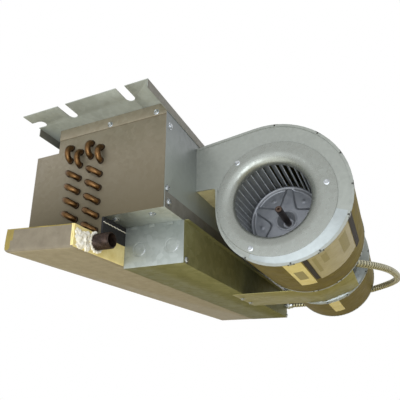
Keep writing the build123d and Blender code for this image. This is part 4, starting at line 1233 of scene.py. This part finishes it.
class FANCOIL_OT_conduit(bpy.types.Operator):
    """Adds the armoured conduit from the motor to the control box"""

    bl_idname = "fancoil.conduit"
    bl_label = "Conduit"

    def execute(self, context):
        look = context.scene.fancoil_conduit
        step = look.pitch / 8
        path = smooth_line(CONDUIT_ROUTE, step)
        relief = 2 * look.ridge / CONDUIT_DIAMETER

        def winding(index, turn):
            phase = (index * step / look.pitch + turn / (2 * math.pi)) % 1
            return 1 - relief * (1 - min(1, 1.9 * math.sin(math.pi * phase) ** 1.2))

        hose = Shape()
        hose.tube(path, CONDUIT_DIAMETER / 2, CONDUIT_SIDES, swell=winding)
        for index in range((len(path) - 1) * CONDUIT_SIDES):
            along, around = divmod(index, CONDUIT_SIDES)
            # Faces deep in the grooves get the dark finish: painted shade
            if winding(along + 0.5, 2 * math.pi * (around + 0.5) / CONDUIT_SIDES) < 1 - relief * 0.25:
                hose.marks[index] = 1
        windings = "wound_conduit_strip grimy_conduit_groove"
        made = hose.piece("armoured_hose", windings, "armoured_conduit", "motor_conduit", crease=60)
        for name, end, before in (
            ("motor", CONDUIT_ROUTE[0], CONDUIT_ROUTE[1]),
            ("box", CONDUIT_ROUTE[-1], CONDUIT_ROUTE[-2]),
        ):
            node = f"conduit_{name}_connector"
            fitting = connector(end, end - before)
            fitting.piece(f"{name}_fitting", "zinc_plated_steel", "screw_zinc", node)
        return {"FINISHED"}


PAN_REAR_REACH = 67 * MM
PAN_FLOOR = 1 * MM
PAN_EDGE = 6 * MM
PAN_EDGE_STEPS = 5
PAN_STEPS = (90, 14, 90, 56)
PAN_UNEVEN = 0.9 * MM
NIPPLE_FROM_END = 14 * MM
NIPPLE_RISE = 13.8 * MM
NIPPLE_RADIUS = 13.35 * MM
NIPPLE_BORE = 10.45 * MM
NIPPLE_REACH = 30 * MM
NIPPLE_STEPS = 110
NIPPLE_SIDES = 40
THREAD_PITCH = 1.8 * MM
THREAD_DEPTH = 0.9 * MM
FACING_TOP_BAND = 1.6 * MM
CORNER_STRIP = 3.5 * MM
WORN_REACH = 13 * MM
WORN_SPREAD = 14 * MM
# The numbers of the jacket's finishes
FACING, FOAM, FOAM_PAINTED_SHADE, END_FACING_PAINTED_SHADE = range(4)
# Dabs of sealant in mm: from the cut corner, above the underside, half width, half height, thickness
SEALANT_DABS = (
    (21, 17, 18, 12, 5.0),
    (10, 25, 9, 8, 3.5),
    (30, 27, 10, 7, 4.5),
    (15, 7, 11, 5, 3.0),
    (33, 10, 9, 7, 4.0),
)
DAB_STEPS = 11
DAB_SIDES = 36
DAB_STEEPEST = 84
COLLAR_FROM = 100
COLLAR_TURN = 5.2
COLLAR_POINTS = 49
COLLAR_GAP = 1.6 * MM
COLLAR_WAVE = 0.8 * MM
COLLAR_RADIUS = 2.6 * MM
# A thin white line along the pan's rear edge under the casing, drawn as a bead of sealant: a painted
# highlight
EDGE_GLINT_STEPS = 23
EDGE_GLINT_DROP = 8.8 * MM
EDGE_GLINT_WAVE = 0.5 * MM
EDGE_GLINT_RADIUS = 0.7 * MM
WASHER_FROM_END = 20 * MM
WASHER_DROP = 8.4 * MM
# The washer's section in mm as (along, radius)
WASHER_SECTION = ((0, 2.2), (0.8, 2.2), (1.1, 2.8), (0.8, 4.2), (0, 4.4))


def pan_corners(inset):
    """The pan's plan outline, moved inwards, as (x, y): rear near, rear far, front far, front near."""
    depth = PAN_HIGH.y - PAN_LOW.y
    rear_near_x = NEAR_X - PAN_REAR_REACH
    slant = (rear_near_x - PAN_LOW.x) / depth
    near_inset = inset * math.hypot(1, slant)
    return [
        (rear_near_x - slant * inset + near_inset, PAN_LOW.y + inset),
        (PAN_HIGH.x - inset, PAN_LOW.y + inset),
        (PAN_HIGH.x - inset, PAN_HIGH.y - inset),
        (PAN_LOW.x + slant * inset + near_inset, PAN_HIGH.y - inset),
    ]


def pan_ring(inset, z, unevenness=0.0):
    """A closed line round the pan, with enough points to be slightly uneven."""
    corners = [Vector(corner) for corner in pan_corners(inset)]
    points = []
    for index, steps in enumerate(PAN_STEPS):
        a, b = corners[index], corners[(index + 1) % 4]
        side = (b - a).normalized()
        for i in range(steps):
            spot = a.lerp(b, i / steps)
            wobble = fractal(Vector((spot.x * 60, spot.y * 60, z * 60)), 1.0, 2.0, 3) * unevenness
            points.append((spot.x + side.y * wobble, spot.y - side.x * wobble, z))
    front, rear = corners[3], corners[0]
    return [*points, (*(rear + (front - rear).normalized() * CORNER_STRIP), z)]


def jacket_mark(spot, on_end):
    """The finish at a spot of the jacket: film, or foam where it was cut or has worn; the rim's top band, the
    worn front edge and the near end's film take darker copies, painted shade.
    """
    near_corner, front_corner = pan_corners(0)[0], pan_corners(0)[3]
    worn = WORN_REACH + WORN_SPREAD * fractal(spot * 55, 1.0, 2.0, 3)
    rear_wall = spot.y < PAN_LOW.y + 1.5 * MM and spot.z > PAN_LOW.z + 3 * MM
    rear_edge = spot.y < near_corner[1] + CORNER_STRIP and spot.x < near_corner[0] + 2 * MM
    front_edge = spot.y > front_corner[1] - worn and spot.x < front_corner[0] + worn
    above_facing = spot.z > PAN_LOW.z + 4 * MM
    if rear_wall or (rear_edge and above_facing):
        return FOAM
    if spot.z > PAN_HIGH.z - FACING_TOP_BAND or (front_edge and above_facing):
        return FOAM_PAINTED_SHADE
    # The near end's film takes a darker copy: painted shade
    return END_FACING_PAINTED_SHADE if on_end and spot.z > PAN_LOW.z + 1 * MM else FACING


def smear(shape, x, z, reach_x, reach_z, height, seed):
    """A dab of sealant with an uneven edge and top, pressed on the pan's rear wall."""
    rings = []
    for k in range(DAB_STEPS + 1):
        turn_up = math.radians(DAB_STEEPEST * k / DAB_STEPS)
        ring = []
        for j in range(DAB_SIDES):
            turn = 2 * math.pi * j / DAB_SIDES
            spread = Vector((math.cos(turn), math.sin(turn), seed))
            size = (1 + 0.35 * fractal(spread * 1.6, 1.0, 2.0, 3)) * math.cos(turn_up)
            dx, dz = reach_x * size * math.cos(turn), reach_z * size * math.sin(turn)
            lump = fractal(Vector((dx, dz, seed * MM)) * 160, 1.0, 2.0, 4)
            proud = height * math.sin(turn_up) * (1 + 0.55 * lump)
            ring.append((x + dx, PAN_LOW.y + 1.2 * MM - proud if k else PAN_LOW.y + 2 * MM, z + dz))
        rings.append(ring)
    shape.skin(rings)


class FANCOIL_OT_pan(bpy.types.Operator):
    """Adds the foam-clad drain pan with its nipple, gasket and sealant"""

    bl_idname = "fancoil.pan"
    bl_label = "Drain pan"

    def execute(self, context):
        foam = context.scene.fancoil_pan.foam
        self.add_jacket(foam)
        self.add_tray(foam)
        nipple = (NEAR_X - NIPPLE_FROM_END, PAN_LOW.z + foam + NIPPLE_RISE)
        self.add_nipple(foam, *nipple)
        self.add_sealant(*nipple)
        washer = Shape()
        section = [(along * MM, radius * MM) for along, radius in WASHER_SECTION]
        spot = (NEAR_X + WASHER_FROM_END, PAN_LOW.y, PAN_HIGH.z - WASHER_DROP)
        washer.turn(section, spot, (0, -1, 0), 24, loop=True)
        washer.piece("pan_washer", "zinc_plated_steel", "screw_zinc")
        dress("pan_gasket", "closed_cell_gasket")
        return {"FINISHED"}

    def add_jacket(self, foam):
        """Foam round the tray: its inside, its cut rim, the outer wall and a rounded lower edge."""
        rings = [
            pan_ring(foam, PAN_LOW.z + foam),
            pan_ring(foam, PAN_HIGH.z, 0.5 * MM),
            pan_ring(0, PAN_HIGH.z, PAN_UNEVEN),
            pan_ring(0, PAN_HIGH.z - FACING_TOP_BAND, PAN_UNEVEN),
        ]
        for share in (0.35, 0.6, 0.8):
            rings.append(pan_ring(0, PAN_HIGH.z + (PAN_LOW.z + PAN_EDGE - PAN_HIGH.z) * share, PAN_UNEVEN))
        for i in range(PAN_EDGE_STEPS + 1):
            turn = math.radians(90 * i / PAN_EDGE_STEPS)
            z = PAN_LOW.z + PAN_EDGE * (1 - math.sin(turn))
            uneven = PAN_UNEVEN * (1 - i / (PAN_EDGE_STEPS + 1))
            rings.append(pan_ring(PAN_EDGE * (1 - math.cos(turn)), z, uneven))
        jacket = Shape()
        jacket.skin(rings)
        for index, face in enumerate(jacket.faces):
            spot = sum((jacket.points[i] for i in face), Vector()) / len(face)
            on_end = len(face) == 4 and index % len(rings[0]) >= sum(PAN_STEPS[:3])
            jacket.marks[index] = jacket_mark(spot, on_end)
        skins = "foil_kraft_facing cut_polyurethane_foam aged_polyurethane_foam handled_kraft_facing"
        made = jacket.piece("foam_jacket", skins, "pan_foam", "pan_jacket", crease=50)

    def add_tray(self, foam):
        """The steel tray that lines the foam."""
        floor = PAN_LOW.z + foam
        tray = Shape()
        tray.skin([
            pan_ring(foam, floor),
            pan_ring(foam, PAN_HIGH.z - 0.4 * MM),
            pan_ring(foam + 0.4 * MM, PAN_HIGH.z),
            pan_ring(foam + PAN_FLOOR, PAN_HIGH.z - 0.3 * MM),
            pan_ring(foam + PAN_FLOOR, floor + PAN_FLOOR + 3 * MM),
            pan_ring(foam + PAN_FLOOR + 3 * MM, floor + PAN_FLOOR),
        ])
        tray.piece("drip_tray", "coated_pan_steel", "pan_steel", "pan_tray")

    def add_nipple(self, foam, centre_x, centre_z):
        """An open pipe, threaded outside the pan and chamfered at its end."""
        start_y, end_y = PAN_LOW.y + foam, PAN_LOW.y - NIPPLE_REACH
        turns = [2 * math.pi * j / NIPPLE_SIDES for j in range(NIPPLE_SIDES)]

        def ring(y, sizes):
            pairs = zip(sizes, turns)
            return [(centre_x + size * math.cos(t), y, centre_z + size * math.sin(t)) for size, t in pairs]

        rings = []
        for i in range(NIPPLE_STEPS + 1):
            y = start_y + (end_y - start_y) * i / NIPPLE_STEPS
            chamfer = i - NIPPLE_STEPS + 3
            if chamfer > 0:
                cuts = [0.8 + 0.3 * chamfer] * NIPPLE_SIDES
            elif y > PAN_LOW.y - 1 * MM:
                cuts = [1] * NIPPLE_SIDES
            else:
                phases = [((start_y - y) / THREAD_PITCH + j / NIPPLE_SIDES) % 1 for j in range(NIPPLE_SIDES)]
                cuts = [abs(2 * phase - 1) for phase in phases]
            rings.append(ring(y, [NIPPLE_RADIUS - THREAD_DEPTH * cut for cut in cuts]))
        rings.append(ring(end_y, [NIPPLE_BORE + 0.5 * MM] * NIPPLE_SIDES))
        rings.append(ring(start_y, [NIPPLE_BORE] * NIPPLE_SIDES))
        nipple = Shape()
        nipple.skin(rings, loop=True)
        nipple.piece("threaded_nipple", "black_steel_pipe", "pan_steel", crease=50)

    def add_sealant(self, centre_x, centre_z):
        """Dabs beside the nipple, a collar round it and a thin bead along the pan's rear wall, whose white
        line is a painted highlight.
        """
        sealant = Shape()
        for index, (along, rise, *sizes) in enumerate(SEALANT_DABS):
            x, z = NEAR_X - PAN_REAR_REACH + along * MM, PAN_LOW.z + rise * MM
            smear(sealant, x, z, *(size * MM for size in sizes), index)
        collar = []
        for i in range(COLLAR_POINTS):
            turn = math.radians(COLLAR_FROM + COLLAR_TURN * i)
            wide = NIPPLE_RADIUS + COLLAR_GAP + COLLAR_WAVE * math.sin(i * 1.3)
            x, z = centre_x + wide * math.cos(turn), centre_z + wide * math.sin(turn)
            collar.append(Vector((x, PAN_LOW.y, z)))
        sealant.tube(
            collar, COLLAR_RADIUS, 10, swell=lambda i, turn: 1 + 0.25 * math.sin(i * 0.9) * math.cos(turn + i)
        )
        # The thin white bead is a painted highlight along the edge under the casing
        bead = []
        for i in range(EDGE_GLINT_STEPS + 1):
            x = NEAR_X + (BOX_NEAR_X - NEAR_X) * i / EDGE_GLINT_STEPS
            bead.append(Vector((x, PAN_LOW.y - 0.3 * MM, BASE_Z - EDGE_GLINT_DROP + EDGE_GLINT_WAVE * math.sin(i * 1.9))))
        sealant.tube(bead, EDGE_GLINT_RADIUS, 10)
        sealant.piece("nipple_sealant", "cured_white_sealant", "sealing_strip", crease=60)


KNOCKOUTS_FROM_REAR = (18 * MM, 80 * MM)
KNOCKOUT_RISE = 31.4 * MM
KNOCKOUT_RADII = (11 * MM, 11.8 * MM, 14 * MM)
# A thin bright arc on the lower part of each knock-out's edge, in bright zinc: a painted glint
KNOCKOUT_GLINT_TURNS = (172, 258)
KNOCKOUT_GLINT_STEPS = 16
KNOCKOUT_GLINT_RADIUS = 0.7 * MM
TABS_FROM_REAR = (16 * MM, 51 * MM, 87 * MM)
TAB_WIDTH = 11 * MM
TAB_HEIGHT = 5 * MM
TAB_THICKNESS = 1.1 * MM
BOX_SCREW_FROM_END = 9.5 * MM
BOX_SCREW_FROM_REAR = 8 * MM
BOX_SCREW_RISE = 6.4 * MM
TERMINALS = 6
TERMINAL_RIB = 1 * MM
TERMINAL_DEPTH = 6 * MM
TERMINAL_SCREW_INSET = 7 * MM


class FANCOIL_OT_box(bpy.types.Operator):
    """Adds the control box's knock-outs, tabs and screws, and the parts in it"""

    bl_idname = "fancoil.box"
    bl_label = "Control box"

    def execute(self, context):
        knockouts, tabs, screws = Shape(), Shape(), Shape()
        small, middle, large = KNOCKOUT_RADII
        slug = [(-0.3 * MM, small), (0.15 * MM, small), (0.3 * MM, small - 0.6 * MM), (0.2 * MM, small * 0.6)]
        ring = [
            (-0.3 * MM, middle), (0.15 * MM, middle), (0.3 * MM, middle + 0.6 * MM),
            (0.3 * MM, large - 0.6 * MM), (0.15 * MM, large), (-0.3 * MM, large),
        ]
        for outer_x, outward in ((BOX_NEAR_X, -1), (BOX_FAR_X, 1)):
            for from_rear in KNOCKOUTS_FROM_REAR:
                spot = (outer_x, REAR_Y + from_rear, BOX_LOW.z + KNOCKOUT_RISE)
                knockouts.turn(slug, spot, (outward, 0, 0), 40)
                knockouts.turn(ring, spot, (outward, 0, 0), 40, loop=True)
                # The bright arc along the knock-out's edge is a painted glint
                glint_arc = arc(spot[1:], middle, *KNOCKOUT_GLINT_TURNS, KNOCKOUT_GLINT_STEPS)
                knockouts.tube(
                    [Vector((outer_x + outward * 0.1 * MM, y, z)) for y, z in glint_arc],
                    KNOCKOUT_GLINT_RADIUS,
                    8,
                    mark=1,
                    swell=lambda i, turn: 0.15 + math.sin(math.pi * i / KNOCKOUT_GLINT_STEPS),
                )
            low_x, high_x = sorted((outer_x, outer_x + outward * TAB_THICKNESS))
            for from_rear in TABS_FROM_REAR:
                y = REAR_Y + from_rear
                tabs.block((low_x, y, BASE_Z - TAB_HEIGHT), (high_x, y + TAB_WIDTH, BASE_Z))
            screw_x = outer_x - outward * BOX_SCREW_FROM_END
            spot = (screw_x, BOX_LOW.y + BOX_SCREW_FROM_REAR, BOX_LOW.z + BOX_SCREW_RISE)
            screw(screws, spot, (0, -1, 0))
        looks = "galvanised_casing_sheet zinc_plated_steel"
        knockouts.piece("knockouts", looks, "galvanised_sheet", crease=25)
        tabs.piece("cover_tabs", "galvanised_casing_sheet", "galvanised_sheet", bevel=0.3 * MM)
        screws.piece("box_screws", "zinc_plated_steel", "screw_zinc")
        self.add_capacitor()
        self.add_terminals()
        return {"FINISHED"}

    def add_capacitor(self):
        """An oval can with a bevelled foot and a shouldered top."""
        low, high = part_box("run_capacitor")
        centre = (low + high) / 2
        half_y = (high.y - low.y) / 2
        straight = (high.x - low.x) / 2 - half_y
        foot = ((low.z, 1 * MM), (low.z + 1 * MM, 0))
        top = ((high.z - 4 * MM, 0), (high.z - 3 * MM, 1 * MM), (high.z, 2 * MM))
        rings = []
        for z, inset in (*foot, *top):
            rounded = arc((straight, 0), half_y - inset, -90, 90, 16)
            oval = [(end * x, end * y) for end in (1, -1) for x, y in rounded]
            rings.append([(centre.x + x, centre.y + y, z) for x, y in oval])
        can = Shape()
        can.skin(rings)
        can.piece("capacitor_can", "drawn_aluminium_can", "capacitor_can", "run_capacitor")

    def add_terminals(self):
        """A block with a pair of screws between each two of its ribs."""
        low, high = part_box("terminal_block")
        floor = high.z - TERMINAL_DEPTH
        pitch = (high.x - low.x) / TERMINALS
        block, screws = Shape(), Shape()
        block.block(low, (high.x, high.y, floor))
        for i in range(TERMINALS + 1):
            x = min(max(low.x + i * pitch, low.x + TERMINAL_RIB), high.x - TERMINAL_RIB)
            block.block((x - TERMINAL_RIB, low.y, floor - 1 * MM), (x + TERMINAL_RIB, high.y, high.z))
        for i in range(TERMINALS):
            for y in (low.y + TERMINAL_SCREW_INSET, high.y - TERMINAL_SCREW_INSET):
                screw(screws, (low.x + (i + 0.5) * pitch, y, floor), (0, 0, 1), 2.6 * MM, 4 * MM)
        block.piece(
            "terminal_strip", "moulded_phenolic", "terminal_plastic", "terminal_block", bevel=0.4 * MM
        )
        screws.piece("terminal_screws", "zinc_plated_steel", "screw_zinc")


# Bare labels on the wraps: blower, distance from its near side and length in mm, from and to angle,
# finish, layer
LABELS = (
    (0, 4, 165, -96, -110, 0, 1),
    (0, 3, 141, -111, -114.7, 2, 1),
    (0, 4, 147, -115.2, -154, 1, 1),
    (0, 3, 161, -154.8, -161, 2, 1),
    (1, 0, 155, -103, -115, 0, 1),
    (0, 58, 62, -99, -106.5, 3, 2),
    (0, 12, 92, -117.5, -120.5, 3, 2),
    (0, 20, 46, -124, -129, 3, 2),
    (0, 18, 84, -141, -149, 3, 2),
)
LABEL_THICKNESS = 0.2 * MM
LABEL_SUNK = 0.1 * MM


class FANCOIL_OT_labels(bpy.types.Operator):
    """Adds the bare labels on the blower wraps"""

    bl_idname = "fancoil.labels"
    bl_label = "Bare labels"

    def execute(self, context):
        path = scroll_path()
        labels = Shape()
        for fan, along, length, start, end, mark, layer in LABELS:
            low_x = FAN_CENTRES[fan] - FAN_WIDTH / 2 + along * MM
            steps = max(2, int(abs(end - start) / 2))
            turns = [start + (end - start) * i / steps for i in range(steps + 1)]
            reaches = [scroll_reach(path, degrees) for degrees in turns]
            under = [on_circle(degrees, reach - LABEL_SUNK) for degrees, reach in zip(turns, reaches)]
            rise = LABEL_THICKNESS * layer
            upper = [on_circle(degrees, reach + rise) for degrees, reach in zip(turns, reaches)]
            labels.strip(under, upper, low_x, low_x + length * MM, mark)
        papers = "cream_label_paper tan_label_film black_label_ink blank_printed_field"
        labels.piece("bare_labels", papers, "fan_sheet")
        return {"FINISHED"}


# The photograph's view: a 36 mm wide sensor behind a frame 400 pixels wide
FRAME_PIXELS = 400
FOCAL_PIXELS = 424.208
CENTRE_PIXELS = (195.211, 238.528)
CAMERA_YAW = 0.427
CAMERA_PITCH = 0.309
CAMERA_ROLL = 0.007
CAMERA_PLACE = (-0.93734, -0.40233, -0.43042)
SENSOR_WIDTH = 36
# Each soft light: its place and its width and height
LAMPS = {
    "key": ((-2.2, -0.35, -0.35), (2.2, 1.8)),
    "fill": ((-1.35, -0.5, -0.62), (0.7, 0.7)),
    "bounce": ((-1.0, 0.15, -1.1), (1.3, 1.3)),
}
LAMP_COLOUR = "#f3f8ff"
FLOOR_Z = -1.5
FLOOR_RADIUS = 4.5
FLOOR_THICKNESS = 5 * MM


class FANCOIL_OT_stage(bpy.types.Operator):
    """Adds the camera, the lights, the world and a plain floor"""

    bl_idname = "fancoil.stage"
    bl_label = "Stage"

    def execute(self, context):
        look = context.scene.fancoil_stage
        context.scene.view_settings.view_transform = "Standard"
        self.add_camera(context)
        for name, (place, size) in LAMPS.items():
            self.add_lamp(context, name, getattr(look, f"{name}_power"), place, size)
        self.add_world(context)
        floor = Shape()
        slab = [(0, FLOOR_RADIUS), (FLOOR_THICKNESS, FLOOR_RADIUS)]
        floor.turn(slab, (0, 0, FLOOR_Z - FLOOR_THICKNESS), (0, 0, 1), 96)
        made = floor.build("floor", "matt_floor_paint")
        return {"FINISHED"}

    def add_camera(self, context):
        """The photograph's own camera."""
        forward = Vector((
            math.cos(CAMERA_YAW) * math.cos(CAMERA_PITCH),
            math.sin(CAMERA_YAW) * math.cos(CAMERA_PITCH),
            math.sin(CAMERA_PITCH),
        ))
        level = Vector((math.sin(CAMERA_YAW), -math.cos(CAMERA_YAW), 0))
        upright = level.cross(forward)
        right = level * math.cos(CAMERA_ROLL) + upright * math.sin(CAMERA_ROLL)
        up = upright * math.cos(CAMERA_ROLL) - level * math.sin(CAMERA_ROLL)
        camera = bpy.data.objects.new("camera", bpy.data.cameras.new("camera"))
        pose = Matrix((right, up, -forward)).transposed().to_4x4()
        pose.translation = CAMERA_PLACE
        camera.matrix_world = pose
        camera.data.sensor_width = SENSOR_WIDTH
        camera.data.lens = FOCAL_PIXELS / FRAME_PIXELS * SENSOR_WIDTH
        camera.data.shift_x = (FRAME_PIXELS / 2 - CENTRE_PIXELS[0]) / FRAME_PIXELS
        camera.data.shift_y = (CENTRE_PIXELS[1] - FRAME_PIXELS / 2) / FRAME_PIXELS
        camera.data.clip_start = 0.01
        context.scene.collection.objects.link(camera)
        context.scene.camera = camera

    def add_lamp(self, context, name, power, place, size):
        """A soft rectangular light that faces the middle of the blower axis."""
        lamp = bpy.data.lights.new(name, "AREA")
        lamp.shape = "RECTANGLE"
        lamp.size, lamp.size_y = size
        lamp.energy = power
        lamp.color = linear(LAMP_COLOUR)[:3]
        holder = bpy.data.objects.new(name, lamp)
        holder.location = place
        aim = Vector((0, AXIS_Y, AXIS_Z)) - Vector(place)
        holder.rotation_euler = aim.to_track_quat("-Z", "Y").to_euler()
        context.scene.collection.objects.link(holder)

    def add_world(self, context):
        """A soft grey room that lights the unit, white where it is seen or mirrored."""
        world = bpy.data.worlds.new("soft_room")
        world.use_nodes = True
        tree = world.node_tree
        tree.nodes.clear()
        context.scene.world = world
        rays = add_node(tree, "ShaderNodeLightPath").node.outputs
        straight = {0: rays["Is Camera Ray"], 1: rays["Is Transmission Ray"]}
        seen = add_node(tree, "ShaderNodeMath", straight, operation="MAXIMUM")
        mirrored = add_node(tree, "ShaderNodeMath", {0: seen, 1: rays["Is Glossy Ray"]}, operation="MAXIMUM")
        sky = add_node(tree, "ShaderNodeBackground", {"Color": "#eef0ee", "Strength": 0.8})
        white = add_node(tree, "ShaderNodeBackground", {"Color": "#ffffff", "Strength": 1.0})
        mixed = add_node(tree, "ShaderNodeMixShader", {0: mirrored, 1: sky, 2: white})
        add_node(tree, "ShaderNodeOutputWorld", {"Surface": mixed})


OPERATORS = (
    FANCOIL_OT_casing,
    FANCOIL_OT_coil,
    FANCOIL_OT_housings,
    FANCOIL_OT_wheels,
    FANCOIL_OT_motor,
    FANCOIL_OT_conduit,
    FANCOIL_OT_pan,
    FANCOIL_OT_box,
    FANCOIL_OT_labels,
    FANCOIL_OT_stage,
)


class FANCOIL_PT_panel(bpy.types.Panel):
    """Buttons and settings for each group of pieces"""

    bl_label = "Fan coil unit"
    bl_idname = "FANCOIL_PT_panel"
    bl_space_type = "VIEW_3D"
    bl_region_type = "UI"
    bl_category = "Fan coil"

    def draw(self, context):
        for operator in OPERATORS:
            self.layout.operator(operator.bl_idname)
        for name, group in SETTINGS.items():
            column = self.layout.column()
            for field in group.__annotations__:
                column.prop(getattr(context.scene, name), field)


CLASSES = (*SETTINGS.values(), *OPERATORS, FANCOIL_PT_panel)


def register():
    for item in CLASSES:
        bpy.utils.register_class(item)
    for name, group in SETTINGS.items():
        setattr(bpy.types.Scene, name, PointerProperty(type=group))


def unregister():
    for name in SETTINGS:
        delattr(bpy.types.Scene, name)
    for item in reversed(CLASSES):
        bpy.utils.unregister_class(item)


def main():
    register()
    for operator in OPERATORS:
        group, action = operator.bl_idname.split(".")
        getattr(getattr(bpy.ops, group), action)()


if __name__ == "__main__":
    main()
